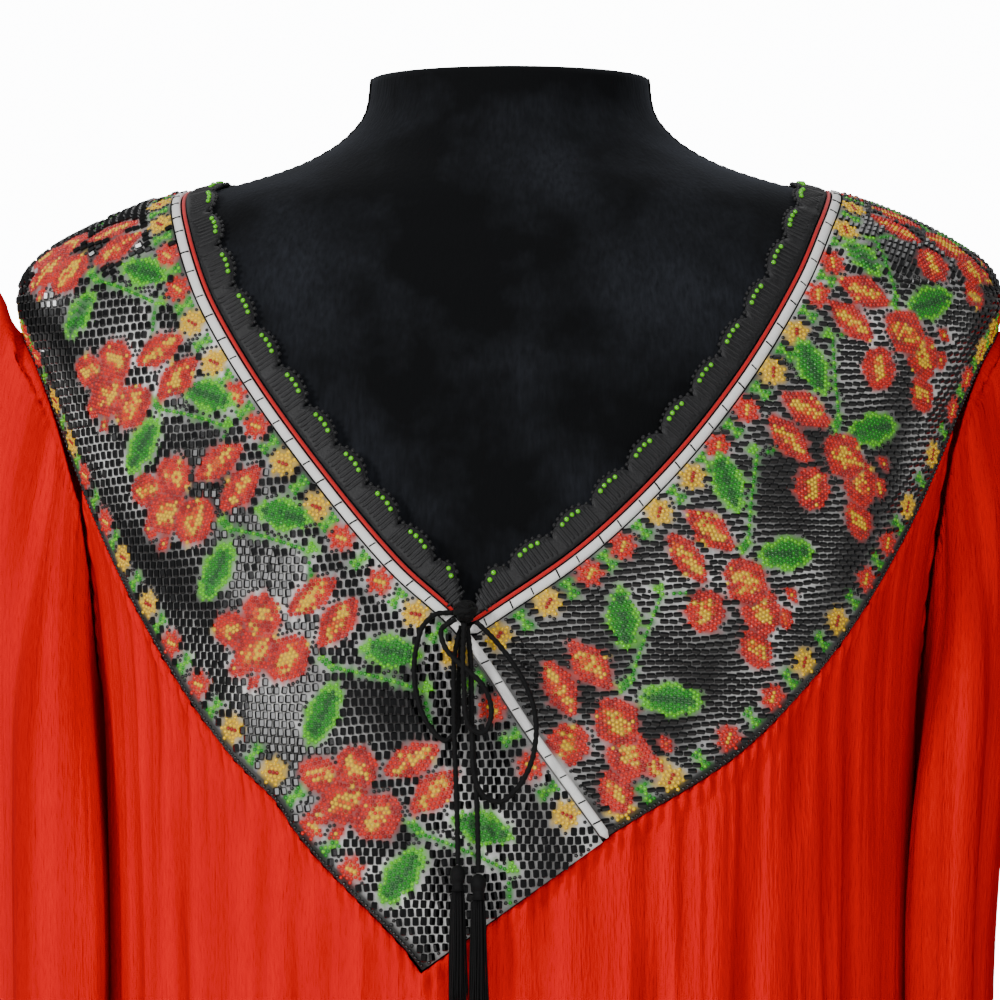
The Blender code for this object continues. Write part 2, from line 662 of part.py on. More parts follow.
def build_white_edge(yoke, collection):
    """The rolled white edge, down the lap, round the neck and down to the V."""
    stations = np.linspace(0.0, yoke.v_right - 0.6 * MM, 84)
    columns = [np.linspace(0, WHITE_EDGE_WIDTH, 2) for _ in stations]
    left = yoke.centre
    grid = strip(yoke, stations, columns,
                 lambda s, t: WHITE_EDGE_WALL + 0.6 * MM + (yoke.lift(s, t) if s < left else 0.0 * t))
    cloth("white_neck_edge", grid, WHITE_EDGE_WALL, collection, "white_cotton")


def build_piping(yoke, collection):
    """The thin red piping inside the white edge."""
    stations = np.linspace(yoke.v_left + 3.4 * MM, yoke.v_right - 3.4 * MM, 74)
    grid = strip(yoke, stations, [np.array(PIPING)] * len(stations), lambda s, t: 1.9 * MM + 0.0 * t)
    cloth("red_piping", grid, 1.5 * MM, collection, "red_cotton")


def build_edging(yoke, collection):
    """The black crocheted edging with its row of scallops, mitred at the V."""
    start, stop = yoke.v_left + 6 * MM, yoke.v_right - 6 * MM
    scallops = round((stop - start) / SCALLOP_PITCH)
    stations = np.linspace(start, stop, 4 * scallops + 1)
    columns = []
    for s in stations:
        wave = abs(math.sin(math.pi * scallops * (s - start) / (stop - start))) ** 0.6
        depth = EDGING_DEPTH[0] + (EDGING_DEPTH[1] - EDGING_DEPTH[0]) * wave
        room = (min(s - yoke.v_left, yoke.v_right - s) * math.tan(V_HALF_ANGLE)) + EDGING_INNER - 0.3 * MM
        columns.append(np.array([EDGING_INNER - min(depth, max(room, 0.6 * MM)), EDGING_INNER]))
    grid = strip(yoke, stations, columns, lambda s, t: 1.7 * MM + 0.0 * t)
    cloth("crochet_edging", grid, 1.4 * MM, collection, "black_cotton")


def cord_depth(across, height, layer):
    """How far forward a cord's centre hangs at a place, clear of the lapped bands."""
    front = face_point(np.asarray(across), np.asarray(height), np.full(np.shape(across), FRONT))[..., 1]
    return front - (BAND_LIFT + LAP_LIFT) * 1.08 - 0.3 * MM - CORD_RADIUS - layer * CORD_LAYER


def knot_centre():
    """The middle of the knot, midway through the cords' layers."""
    across, height = (value * MM for value in KNOT_AT)
    return np.array([across, float(cord_depth(across, height, 1.5)), height])


def knot_exit(toward, layer):
    """The point just off the knot where a cord of a layer leaves it towards a place."""
    centre = knot_centre()
    deep = (1.5 - layer) * CORD_LAYER
    shrink = math.sqrt(1 - (deep / KNOT[1]) ** 2)
    way = unit(np.array([toward[0] * MM - centre[0], toward[1] * MM - centre[2]]))
    reach = shrink / math.hypot(way[0] / KNOT[0], way[1] / KNOT[2]) + 0.9 * MM
    return np.array([centre[0] + way[0] * reach, centre[1] + deep, centre[2] + way[1] * reach])


def cord_route(name):
    """A cord's smooth centre line, a point every 2 to 3 diameters."""
    layer, seen = TIE_ROUTES[name]
    middle = np.array([(x * MM, cord_depth(x * MM, z * MM, layer), z * MM) for x, z in seen])
    ends = [knot_exit(seen[0], layer)[None], middle]
    if "loop" in name:
        ends.append(knot_exit(seen[-1], layer)[None])
    route = np.concatenate(ends)
    run = np.r_[0, np.cumsum(np.linalg.norm(np.diff(route, axis=0), axis=1))]
    count = max(8, round(run[-1] / (5.8 * CORD_RADIUS)))
    return curve_through(run, route, np.linspace(0, run[-1], count))


def build_cords(collection):
    """The tie's loops and tails, each a tube on a smooth route."""
    for name in TIE_ROUTES:
        route = cord_route(name)
        curve = bpy.data.curves.new(name, "CURVE")
        curve.dimensions = "3D"
        curve.bevel_depth = CORD_RADIUS
        curve.bevel_resolution = 2
        curve.use_fill_caps = True
        spline = curve.splines.new("POLY")
        spline.points.add(len(route) - 1)
        for point, spot in zip(spline.points, route):
            point.co = (*spot, 1.0)
        item = bpy.data.objects.new(name, curve)
        curve.materials.append(finish("black_cotton"))
        collection.objects.link(item)


def build_knot(collection):
    """The knot at the foot of the V."""
    shape = bmesh.new()
    bmesh.ops.create_uvsphere(shape, u_segments=14, v_segments=9, radius=1.0)
    bmesh.ops.scale(shape, vec=KNOT, verts=shape.verts)
    bmesh.ops.translate(shape, vec=knot_centre(), verts=shape.verts)
    mesh = bpy.data.meshes.new("tie_knot")
    shape.to_mesh(mesh)
    shape.free()
    mesh.shade_smooth()
    place("tie_knot", mesh, collection, "black_cotton")


def build_tassels(collection):
    """A bound head on each tail, with a skirt of separate strands drawn out of its underside."""
    neck = ((0.0, 0.30), (0.10, 0.75), (0.30, 1.0), (0.55, 0.95), (0.72, 0.72), (0.85, 0.85), (1.0, 1.0))
    for name, tail in TASSELS.items():
        end = cord_route(tail)[-1]
        top = end[2] - 0.4 * MM
        turn = np.linspace(0, 2 * math.pi, TASSEL_STRANDS, endpoint=False)
        rings = []
        for share, girth in neck:
            radius = TASSEL_RADIUS * girth
            rings.append(np.stack([end[0] + radius * np.cos(turn), end[1] + radius * np.sin(turn),
                                   np.full(turn.shape, top - share * TASSEL_HEAD)], -1))
        shape = bmesh.new()
        shape.from_mesh(loft(name, rings, closed=True, caps=True))
        under = min(shape.faces, key=lambda face: face.calc_center_median().z)
        wedges = bmesh.ops.poke(shape, faces=[under])["faces"]
        bmesh.ops.inset_individual(shape, faces=wedges, thickness=0.12 * MM)
        for k, wedge in enumerate(wedges):
            way = wedge.calc_center_median()
            spread = np.array([way.x - end[0], way.y - end[1]]) * 0.45
            drop = TASSEL_SKIRT * (1 + 0.04 * math.sin(2.4 * k))
            tip = bmesh.ops.extrude_face_region(shape, geom=[wedge])
            bmesh.ops.translate(shape, vec=(*spread, -drop),
                                verts=[v for v in tip["geom"] if isinstance(v, bmesh.types.BMVert)])
            bmesh.ops.delete(shape, geom=[wedge], context="FACES")
        bmesh.ops.recalc_face_normals(shape, faces=shape.faces)
        mesh = bpy.data.meshes.new(name)
        shape.to_mesh(mesh)
        shape.free()
        place(name, mesh, collection, "black_cotton")


def centre_on_origin(collection):
    """Moves everything so that all but the tie's cords and tassels is centred on the origin."""
    bpy.context.view_layer.update()
    tie = set(TIE_ROUTES) | set(TASSELS)
    depsgraph = bpy.context.evaluated_depsgraph_get()
    corners = np.array([
        corner for item in collection.objects if item.name not in tie
        for corner in item.evaluated_get(depsgraph).bound_box
    ])
    middle = (corners.min(axis=0) + corners.max(axis=0)) / 2
    shift = Matrix.Translation((-middle[0], -middle[1], 0.0))
    for item in collection.objects:
        item.data.transform(shift)


def main():
    """Builds every sub-part."""
    clear_scene()
    collection = bpy.data.collections.new(COLLECTION)
    bpy.context.scene.collection.children.link(collection)
    yoke = Yoke()
    build_form(collection)
    build_panels(yoke, collection)
    build_sleeves(yoke, collection)
    build_bands(yoke, collection)
    build_white_edge(yoke, collection)
    build_piping(yoke, collection)
    build_edging(yoke, collection)
    build_knot(collection)
    build_cords(collection)
    build_tassels(collection)
    centre_on_origin(collection)


main()
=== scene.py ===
"""Looks of a red gauze blouse with a beaded yoke, worn by a velvet dress form.

Metres, +Z up, the front faces -Y, left and right are the viewer's.
Places on the yoke are (s, t): s runs along the neckline from the lapped front corner, up the left
side, round the back and down the right side; t runs outwards from the neckline over the shoulders.
Places on a panel are (f, z): f runs round a half section from the left side to the right side.
"""

import logging
import math
from dataclasses import dataclass, field
from enum import Enum
from functools import partial
from typing import Callable, Iterator, Sequence

import bmesh
import bpy
import numpy as np
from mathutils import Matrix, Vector
from mathutils.kdtree import KDTree


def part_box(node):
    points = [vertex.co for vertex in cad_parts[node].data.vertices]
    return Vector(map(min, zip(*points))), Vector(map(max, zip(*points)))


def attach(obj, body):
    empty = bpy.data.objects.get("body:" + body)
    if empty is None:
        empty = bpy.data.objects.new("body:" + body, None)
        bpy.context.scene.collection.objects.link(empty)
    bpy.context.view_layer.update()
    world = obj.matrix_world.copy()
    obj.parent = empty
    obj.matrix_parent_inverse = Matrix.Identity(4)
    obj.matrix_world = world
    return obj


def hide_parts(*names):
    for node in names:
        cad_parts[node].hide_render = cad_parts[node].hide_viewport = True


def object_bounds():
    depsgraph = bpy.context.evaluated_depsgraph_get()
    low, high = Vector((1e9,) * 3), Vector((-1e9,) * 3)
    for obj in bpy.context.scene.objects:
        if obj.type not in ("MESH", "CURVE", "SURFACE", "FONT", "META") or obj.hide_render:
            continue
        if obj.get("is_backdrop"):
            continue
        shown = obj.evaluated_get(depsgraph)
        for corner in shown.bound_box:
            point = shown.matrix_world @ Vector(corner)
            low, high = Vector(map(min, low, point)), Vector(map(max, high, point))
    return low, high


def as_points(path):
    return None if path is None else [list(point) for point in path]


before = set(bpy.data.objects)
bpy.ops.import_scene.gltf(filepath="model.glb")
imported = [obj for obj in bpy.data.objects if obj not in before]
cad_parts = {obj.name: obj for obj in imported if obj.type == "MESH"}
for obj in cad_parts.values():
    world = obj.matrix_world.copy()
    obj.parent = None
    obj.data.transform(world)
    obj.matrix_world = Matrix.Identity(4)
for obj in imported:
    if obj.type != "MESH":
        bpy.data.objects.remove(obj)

Array = np.ndarray
MM = 0.001
BODY = "root"
LOG = logging.getLogger("blouse")

HEM_HEIGHT = 35 * MM
CUFF_HEIGHT = 225 * MM
UNDERARM_HEIGHT = 500 * MM
SEAM_GAP = 0.35 * MM
FORM_CLEARANCE = 1.5 * MM
PANEL_LIFT = 2.0 * MM
BAND_WIDTH = 92 * MM
BAND_LIFT = 2.8 * MM
LAP_LIFT = 2.8 * MM
LAP_REACH = 20 * MM
TIP_GAP = 0.8 * MM
WHITE_EDGE_WIDTH = 3.5 * MM
EDGING_INNER = -2.6 * MM
EDGING_DEPTH = (7.0 * MM, 11.5 * MM)
SCALLOP_PITCH = 19.5 * MM
V_HALF_ANGLE = math.radians(36)
CORD_RADIUS = 1.0 * MM
CORD_LAYER = 2.5 * MM
KNOT = (4.6 * MM, 5.2 * MM, 4.8 * MM)
FORM_FRONT = -126.0 * MM

# Sections of neck and shoulders: height, half width, front depth, back depth, roundness (mm)
SHOULDERS = (
    (735.0, 54.0, 54.0, 54.0, 2.0),
    (730.0, 54.5, 55.0, 55.0, 2.0),
    (712.0, 60.0, 58.0, 58.0, 2.0),
    (703.0, 70.5, 61.0, 61.0, 2.0),
    (696.0, 84.5, 64.0, 63.5, 2.0),
    (690.0, 103.0, 67.5, 66.5, 2.0),
    (686.0, 119.0, 69.5, 68.5, 2.0),
    (682.0, 134.0, 71.5, 70.5, 2.0),
    (676.0, 150.0, 74.0, 72.5, 2.0),
    (670.0, 162.5, 76.5, 75.0, 2.0),
    (664.0, 173.5, 79.5, 77.0, 2.0),
    (657.0, 182.0, 82.5, 79.0, 2.0),
    (648.0, 186.5, 86.5, 81.0, 2.0),
    (635.0, 185.5, 91.0, 83.5, 2.05),
    (620.0, 180.0, 97.0, 86.5, 2.1),
)
WORN_BODY = (
    (600.0, 173.0, 103.5, 89.5, 2.15),
    (580.0, 167.5, 109.5, 92.0, 2.2),
    (540.0, 159.0, 120.0, 94.5, 2.2),
    (500.0, 154.5, 127.0, 96.0, 2.2),
    (440.0, 152.0, 133.0, 98.0, 2.25),
    (380.0, 151.0, 134.5, 101.0, 2.3),
    (300.0, 153.0, 135.0, 106.0, 2.3),
    (200.0, 157.0, 137.0, 113.0, 2.3),
    (100.0, 162.0, 140.0, 121.0, 2.3),
    (35.0, 166.0, 143.0, 126.0, 2.3),
)
FORM_BODY = (
    (600.0, 171.0, 101.5, 88.0, 2.15),
    (580.0, 164.5, 106.5, 89.5, 2.2),
    (540.0, 155.0, 116.0, 91.0, 2.2),
    (500.0, 149.5, 122.5, 92.0, 2.2),
    (440.0, 146.0, 127.5, 92.0, 2.2),
    (380.0, 139.0, 118.0, 89.0, 2.2),
    (300.0, 126.0, 100.0, 86.0, 2.2),
    (200.0, 131.0, 102.0, 92.0, 2.2),
    (100.0, 140.0, 108.0, 100.0, 2.2),
    (0.0, 141.0, 109.0, 101.0, 2.2),
)
FRONT, RIDGE, BACK = -1, 0, 1

# Neckline seen from the front: across, height (mm), and on which side of the shoulder ridge it lies
NECKLINE = (
    (35.0, 450.1, FRONT),
    (8.5, 487.1, FRONT),
    (-15.9, 522.6, FRONT),
    (-40.6, 545.6, FRONT),
    (-70.1, 580.6, FRONT),
    (-94.4, 613.8, FRONT),
    (-110.6, 641.0, FRONT),
    (-119.9, 665.1, FRONT),
    (-121.5, 685.5, RIDGE),
    (-108.0, 676.0, BACK),
    (-82.0, 665.5, BACK),
    (-43.0, 657.0, BACK),
    (0.0, 654.5, BACK),
    (43.0, 657.0, BACK),
    (82.0, 665.5, BACK),
    (108.0, 676.0, BACK),
    (121.5, 685.5, RIDGE),
    (114.5, 667.5, FRONT),
    (105.6, 648.8, FRONT),
    (87.0, 618.2, FRONT),
    (59.0, 582.7, FRONT),
    (25.7, 550.9, FRONT),
    (-2.4, 531.4, FRONT),
    (-15.9, 522.6, FRONT),
    (-34.0, 511.0, FRONT),
)
V_ROW_LEFT, CENTRE_ROW, V_ROW_RIGHT = 2, 12, 23

# Large folds of a panel: place round the half section, half width there, depth (mm, troughs are
# negative), share of the drop where it starts, and sideways drift on the way to the hem
FRONT_FOLDS = (
    (0.155, 0.016, -3.5, 0.08, -0.010),
    (0.225, 0.014, -6.0, 0.10, -0.012),
    (0.290, 0.016, -4.0, 0.22, -0.004),
    (0.345, 0.017, -6.0, 0.05, -0.004),
    (0.425, 0.018, -4.0, 0.15, 0.003),
    (0.500, 0.016, -4.5, 0.25, 0.002),
    (0.590, 0.014, -6.5, 0.02, 0.000),
    (0.665, 0.014, -6.0, 0.01, 0.006),
    (0.720, 0.017, -3.0, 0.12, 0.012),
    (0.790, 0.015, -4.5, 0.03, 0.010),
    (0.850, 0.014, -3.0, 0.14, 0.006),
)
BACK_FOLDS = (
    (0.160, 0.016, -4.0, 0.10, -0.008),
    (0.250, 0.017, -5.5, 0.04, -0.008),
    (0.335, 0.015, -4.0, 0.12, -0.004),
    (0.420, 0.017, -6.0, 0.05, 0.000),
    (0.505, 0.016, -4.0, 0.15, 0.003),
    (0.580, 0.017, -6.0, 0.03, 0.004),
    (0.680, 0.016, -5.0, 0.08, 0.008),
    (0.760, 0.015, -4.0, 0.12, 0.010),
    (0.845, 0.015, -3.5, 0.05, 0.008),
)
# Large folds of a sleeve: place round the tube from the underarm by the front, half width, depth, start
SLEEVE_FOLDS = (
    (0.18, 0.025, -3.5, 0.20),
    (0.33, 0.025, -6.0, 0.06),
    (0.42, 0.022, -4.0, 0.12),
    (0.52, 0.025, -5.5, 0.05),
    (0.61, 0.022, -4.0, 0.15),
    (0.72, 0.025, -6.0, 0.08),
    (0.84, 0.025, -3.5, 0.25),
)
FRONT_GATHERS, BACK_GATHERS, SLEEVE_GATHERS = 25, 18, 10
FRONT_ARMHOLE, BACK_ARMHOLE = 0.092, 0.110
# The gathered head of a sleeve stands up in a roll: share of the drop, outwards, upwards (mm)
SLEEVE_HEAD = (
    (0.0, 0.0, 0.0),
    (0.012, 5.5, 2.0),
    (0.03, 9.5, 25.0),
    (0.06, 11.5, 38.0),
    (0.10, 12.0, 42.0),
    (0.16, 11.0, 36.0),
    (0.24, 7.0, 20.0),
    (0.40, 2.0, 5.0),
    (1.0, 0.0, 0.0),
)
# Sleeve tube: height, half thickness left, half thickness right, half depth (mm)
SLEEVE_TUBE = (
    (560.0, 19.0, 16.0, 46.0),
    (500.0, 19.5, 15.0, 58.0),
    (410.0, 20.0, 12.5, 63.0),
    (300.0, 20.5, 12.5, 66.0),
    (225.0, 21.0, 13.0, 68.0),
)
SLEEVE_SIDE_GAP = 6.0 * MM
SLEEVE_SEAM_LIFT = 4.0 * MM

# Tie cords seen from the front: layer, then across and height (mm) from the knot on
KNOT_AT = (-16.2, 529.5)
TIE_ROUTES = {
    "tie_loop_left": (0, ((-28.6, 527.4), (-32.8, 519.2), (-34.2, 510.5), (-32.8, 498.2),
                          (-28.2, 488.1), (-22.4, 484.0), (-19.2, 487.3), (-18.6, 496.0),
                          (-18.4, 505.3), (-17.8, 515.0))),
    "tie_tail_left": (1, ((-19.6, 515.8), (-20.1, 498.3), (-19.8, 482.5), (-19.2, 466.8),
                          (-18.8, 452.9), (-18.6, 441.0))),
    "tie_tail_right": (1, ((-14.4, 514.5), (-13.9, 488.1), (-12.4, 470.3), (-11.6, 450.1),
                           (-11.4, 438.0))),
    "tie_loop_right": (2, ((-5.9, 519.6), (0.4, 511.6), (5.0, 504.0), (8.1, 495.5), (8.8, 486.0),
                           (6.7, 475.6), (1.4, 466.8), (-4.9, 462.7), (-10.2, 465.6),
                           (-13.0, 473.6), (-13.6, 486.0), (-13.9, 501.8), (-14.4, 515.8))),
    "tie_loop_small": (3, ((-24.9, 522.1), (-21.9, 515.1), (-15.1, 508.8), (-9.5, 503.0),
                           (-7.0, 496.0), (-8.3, 488.8), (-11.9, 486.0), (-15.1, 490.6),
                           (-16.4, 501.8), (-16.9, 514.8))),
}
TASSELS = {"tassel_left": "tie_tail_left", "tassel_right": "tie_tail_right"}


def smooth_step(value: Array) -> Array:
    """Rises softly from 0 to 1 as value does."""
    value = np.clip(value, 0.0, 1.0)
    return value * value * (3.0 - 2.0 * value)


def curve_through(x: Array, y: Array, at: Array) -> Array:
    """A smooth curve through rows.

    Args:
        x: rising places of the rows.
        y: the rows.
        at: places to read.

    Returns:
        The rows read at those places.
    """
    x, y, at = np.asarray(x, float), np.asarray(y, float), np.asarray(at, float)
    slope = np.gradient(y, x, axis=0)
    i = np.clip(np.searchsorted(x, at) - 1, 0, len(x) - 2)
    step = x[i + 1] - x[i]
    u = (np.clip(at, x[0], x[-1]) - x[i]) / step
    if y.ndim > 1:
        step, u = step[..., None], u[..., None]
    rise = smooth_step(u)
    return (
        y[i] * (1 - rise)
        + y[i + 1] * rise
        + step * (slope[i] * u * (1 - u) ** 2 - slope[i + 1] * u * u * (1 - u))
    )


def section_table(*tables: Sequence[Sequence[float]]) -> Array:
    """Rows of sections as one array in metres, lowest first."""
    rows = np.array([row for table in tables for row in table])
    rows[:, :4] *= MM
    return rows[np.argsort(rows[:, 0])]


WORN = section_table(SHOULDERS, WORN_BODY)
FORM = section_table(SHOULDERS, FORM_BODY)


def section(height: Array, side: Array, table: Array = WORN) -> tuple[Array, Array, Array]:
    """The section at a height.

    Args:
        height: heights.
        side: below 0 for the front, above for the back.
        table: which sections to read.

    Returns:
        Half width, depth on that side and roundness.
    """
    width, front, back, roundness = np.moveaxis(curve_through(table[:, 0], table[:, 1:], height), -1, 0)
    return width, np.where(side < 0, front, back), roundness


def outside(points: Array) -> Array:
    """How far points lie outside the worn surface, as a share of its size there."""
    x, y, z = np.moveaxis(points, -1, 0)
    width, depth, roundness = section(z, y)
    return ((abs(x) / width) ** roundness + (abs(y) / depth) ** roundness + 1e-12) ** (1 / roundness) - 1


def gradient(points: Array, step: float = 1e-5) -> Array:
    """Direction in which outside() grows."""
    shifts = np.eye(3) * step
    return np.stack([(outside(points + d) - outside(points - d)) / (2 * step) for d in shifts], -1)


def unit(vectors: Array) -> Array:
    """Vectors at length one."""
    return vectors / np.linalg.norm(vectors, axis=-1, keepdims=True)


def settle(points: Array, lift: Array | float = 0.0, rounds: int = 6) -> tuple[Array, Array]:
    """Moves points onto the worn surface.

    Args:
        points: where they start.
        lift: how far out from the surface they end.
        rounds: steps of the search.

    Returns:
        The moved points and the surface's normals there.
    """
    points = np.array(points, float)
    for _ in range(rounds):
        way = gradient(points)
        points = points - (outside(points) / (way ** 2).sum(-1))[..., None] * way
    normal = unit(gradient(points))
    return points + normal * np.asarray(lift)[..., None], normal


def face_point(across: Array, height: Array, side: Array) -> Array:
    """The point of the worn surface seen at a place from the front or from the back."""
    width, depth, roundness = section(height, side)
    share = np.clip(1 - (abs(across) / width) ** roundness, 0, 1)
    return np.stack([across, side * depth * share ** (1 / roundness), height], -1)


def arc_lengths(line: Array) -> Array:
    """Length run at each point of a line."""
    return np.r_[0, np.cumsum(np.linalg.norm(np.diff(line, axis=0), axis=1))]


def read_line(line: Array, run: Array, at: Array | float) -> Array:
    """Points of a line at lengths along it."""
    return np.stack([np.interp(at, run, line[:, axis]) for axis in range(line.shape[1])], -1)


def spread(grid: Array) -> float:
    """Area of a grid of points."""
    across = (grid[:-1, 1:] - grid[:-1, :-1] + grid[1:, 1:] - grid[1:, :-1]) / 2
    down = (grid[1:, :-1] - grid[:-1, :-1] + grid[1:, 1:] - grid[:-1, 1:]) / 2
    return float(np.linalg.norm(np.cross(across, down), axis=-1).sum())


class Yoke:
    """The sheet of the yoke, from which the bands, the trims and the seams are measured."""

    STATION = 4 * MM
    REACH = (-16 * MM, 96 * MM)
    EASE = 6

    def __init__(self) -> None:
        """Marches the sheet outwards and inwards from the neckline."""
        rows = np.array(NECKLINE)
        ends = face_point(rows[:, 0] * MM, rows[:, 1] * MM, rows[:, 2])
        knots = np.r_[0, np.cumsum(np.linalg.norm(np.diff(ends, axis=0), axis=1) ** 0.6)]
        fine_at = np.linspace(0, knots[-1], 2400)
        fine, _ = settle(curve_through(knots, ends, fine_at))
        run = arc_lengths(fine)
        at = np.searchsorted(fine_at, knots)
        self.v_left, self.centre, self.v_right = run[at[[V_ROW_LEFT, CENTRE_ROW, V_ROW_RIGHT]]]
        self.length = run[-1]
        self.s = np.linspace(-self.STATION, self.length, round(self.length / self.STATION) + 2)
        line = read_line(fine, run, self.s)
        line[0] += (line[1] - line[2]) / np.linalg.norm(line[1] - line[2]) * self.STATION
        line, normal = settle(line)
        out = unit(np.cross(normal, np.gradient(line, axis=0)))
        padded = np.pad(out, ((self.EASE, self.EASE), (0, 0)), mode="edge")
        windows = np.lib.stride_tricks.sliding_window_view(padded, 2 * self.EASE + 1, axis=0)
        out = windows.mean(axis=-1)
        out = unit(out - (out * normal).sum(-1, keepdims=True) * normal)
        steps = round((self.REACH[1] - self.REACH[0]) / self.STATION)
        self.t = np.linspace(*self.REACH, steps + 1)
        zero = int(np.argmin(abs(self.t)))
        self.sheet = np.zeros((len(self.s), len(self.t), 3))
        for way, stop in ((1, len(self.t)), (-1, -1)):
            place, heading = line, out * way
            self.sheet[:, zero] = line
            for column in range(zero + way, stop, way):
                place, normal = settle(place + heading * self.STATION)
                heading = unit(heading - (heading * normal).sum(-1, keepdims=True) * normal)
                self.sheet[:, column] = place

    def point(self, s: Array, t: Array, lift: Array | float = 0.0) -> Array:
        """The point at (s, t), lifted off the worn surface."""
        s, t = np.broadcast_arrays(np.asarray(s, float), np.asarray(t, float))
        a = (s - self.s[0]) / (self.s[1] - self.s[0])
        b = (t - self.t[0]) / (self.t[1] - self.t[0])
        i = np.clip(a.astype(int), 0, len(self.s) - 2)
        j = np.clip(b.astype(int), 0, len(self.t) - 2)
        u, v = (a - i)[..., None], (b - j)[..., None]
        place = (
            self.sheet[i, j] * (1 - u) * (1 - v)
            + self.sheet[i + 1, j] * u * (1 - v)
            + self.sheet[i, j + 1] * (1 - u) * v
            + self.sheet[i + 1, j + 1] * u * v
        )
        return settle(place, lift, rounds=2)[0]

    def width(self, s: Array) -> Array:
        """Width of the band, narrower at its two front ends."""
        lapped = 10.5 * MM * (1 - smooth_step(s / (75 * MM)))
        under = 3.5 * MM * smooth_step((s - self.v_right + 60 * MM) / (60 * MM))
        hidden = 1.5 * MM * smooth_step((s - self.v_right) / (2 * MM))
        return BAND_WIDTH - lapped - under - hidden

    def lift(self, s: Array, t: Array) -> Array:
        """Extra lift of the left band where it lies over the right one."""
        along = 1 - smooth_step((s - self.v_left - 4 * MM) / (30 * MM))
        across = 1 - smooth_step((t - LAP_REACH - 8 * MM) / (30 * MM))
        return LAP_LIFT * along * across


def round_the_half(f: Array, height: Array, side: int, lift: float = 0.0) -> Array:
    """The point at a share f of the half section from the left side to the right one."""
    f, height = np.broadcast_arrays(np.asarray(f, float), np.asarray(height, float))
    width, depth, roundness = section(height, side)
    turn = np.cos(math.pi * f)
    x = -width * np.sign(turn) * abs(turn) ** (2 / roundness)
    y = side * depth * abs(np.sin(math.pi * f)) ** (2 / roundness)
    return settle(np.stack([x, y, height], -1), lift, rounds=1)[0]


def share_round(points: Array) -> Array:
    """The share f of a point on the worn surface."""
    width, _, roundness = section(points[:, 2], points[:, 1])
    turn = -np.sign(points[:, 0]) * np.clip(abs(points[:, 0]) / width, 0, 1) ** (roundness / 2)
    return np.arccos(turn) / math.pi


def lowest_crossing(line: Array, f: float) -> float:
    """The lowest height at which a line of (f, height) passes a share f."""
    start, stop = line[:-1], line[1:]
    passed = (np.minimum(start[:, 0], stop[:, 0]) <= f) & (f <= np.maximum(start[:, 0], stop[:, 0]))
    passed &= start[:, 0] != stop[:, 0]
    start, stop = start[passed], stop[passed]
    heights = start[:, 1] + (stop[:, 1] - start[:, 1]) * (f - start[:, 0]) / (stop[:, 0] - start[:, 0])
    return float(heights.min())


def band_outline(yoke: Yoke, side: int) -> Array:
    """The yoke's outer edge on the front or back, as (f, height), a seam's gap outside the bands."""
    def edge(s: Array) -> Array:
        """The edge at stations."""
        return yoke.point(s, yoke.width(s) + SEAM_GAP + TIP_GAP * np.exp(-abs(s) / (14 * MM)))

    if side < 0:
        across = np.linspace(1, 0, 24)
        lap = yoke.point(-SEAM_GAP - 0.5 * TIP_GAP * across**3, across * (yoke.width(0.0) + TIP_GAP))
        points = np.concatenate([
            edge(np.linspace(yoke.centre / 2 + 60 * MM, 0, 160)),
            lap,
            edge(np.linspace(yoke.v_right, yoke.centre + 120 * MM, 160)),
        ])
        points = points[points[:, 1] < 0]
    else:
        points = edge(np.linspace(yoke.centre - 240 * MM, yoke.centre + 240 * MM, 260))
        points = points[points[:, 1] > 0]
    return np.stack([share_round(points), points[:, 2]], -1)


def armhole_height(f: Array, edge_f: float, edge_height: float) -> Array:
    """Height of the armhole seam between the underarm, f = 0, and the yoke, f = edge_f."""
    return UNDERARM_HEIGHT + (edge_height - UNDERARM_HEIGHT) * np.clip(f / edge_f, 0, 1) ** 1.6


def panel_top(yoke: Yoke, side: int, shares: Sequence[float]) -> Array:
    """Height of a panel's top edge at each share: armhole, yoke seam, armhole."""
    line = band_outline(yoke, side)
    edge_f = FRONT_ARMHOLE if side < 0 else BACK_ARMHOLE
    tops = []
    for f in shares:
        if edge_f <= f <= 1 - edge_f:
            tops.append(lowest_crossing(line, f))
        else:
            end = edge_f if f < edge_f else 1 - edge_f
            tops.append(armhole_height(min(f, 1 - f), edge_f, lowest_crossing(line, end)))
    return np.array(tops)


def gathers(around: Array, drop: Array, count: int, seed: float) -> Array:
    """Small waves of the gathered cloth, strongest a little below the seam."""
    turn = 2 * math.pi * around
    phase = 0.9 * np.sin(5 * turn + seed) + 0.6 * np.sin(11 * turn + 2 * seed)
    height = np.interp(drop, (0, 0.02, 0.11, 0.40, 1.0), (0.7, 1.3, 1.5, 0.5, 0.3)) * MM
    return height * np.sin(count * turn + phase)


def folds(around: Array, drop: Array, table: Sequence[Sequence[float]]) -> Array:
    """Large soft folds, at listed places."""
    depth = np.zeros(np.broadcast(around, drop).shape)
    for place, spread, deep, start, *drift in table:
        centre = place + (drift[0] if drift else 0.0) * drop
        grown = smooth_step((drop - start) / 0.25)
        depth += deep * MM * grown * np.exp(-(((around - centre) / spread) ** 2))
    return depth


def displace(grid: Array, amount: Array, closed: bool) -> Array:
    """A grid of points moved along its own normals, which face away from the garment."""
    if closed:
        along = np.roll(grid, -1, axis=1) - np.roll(grid, 1, axis=1)
    else:
        along = np.gradient(grid, axis=1)
    down = np.gradient(grid, axis=0)
    return grid + unit(np.cross(along, down)) * -amount[..., None]


def even_ring(points: Array, columns: int) -> Array:
    """A closed line of points read at even steps from its first point."""
    points = np.concatenate([points, points[:1]])
    run = arc_lengths(points)
    return read_line(points, run, np.linspace(0, run[-1], columns, endpoint=False))


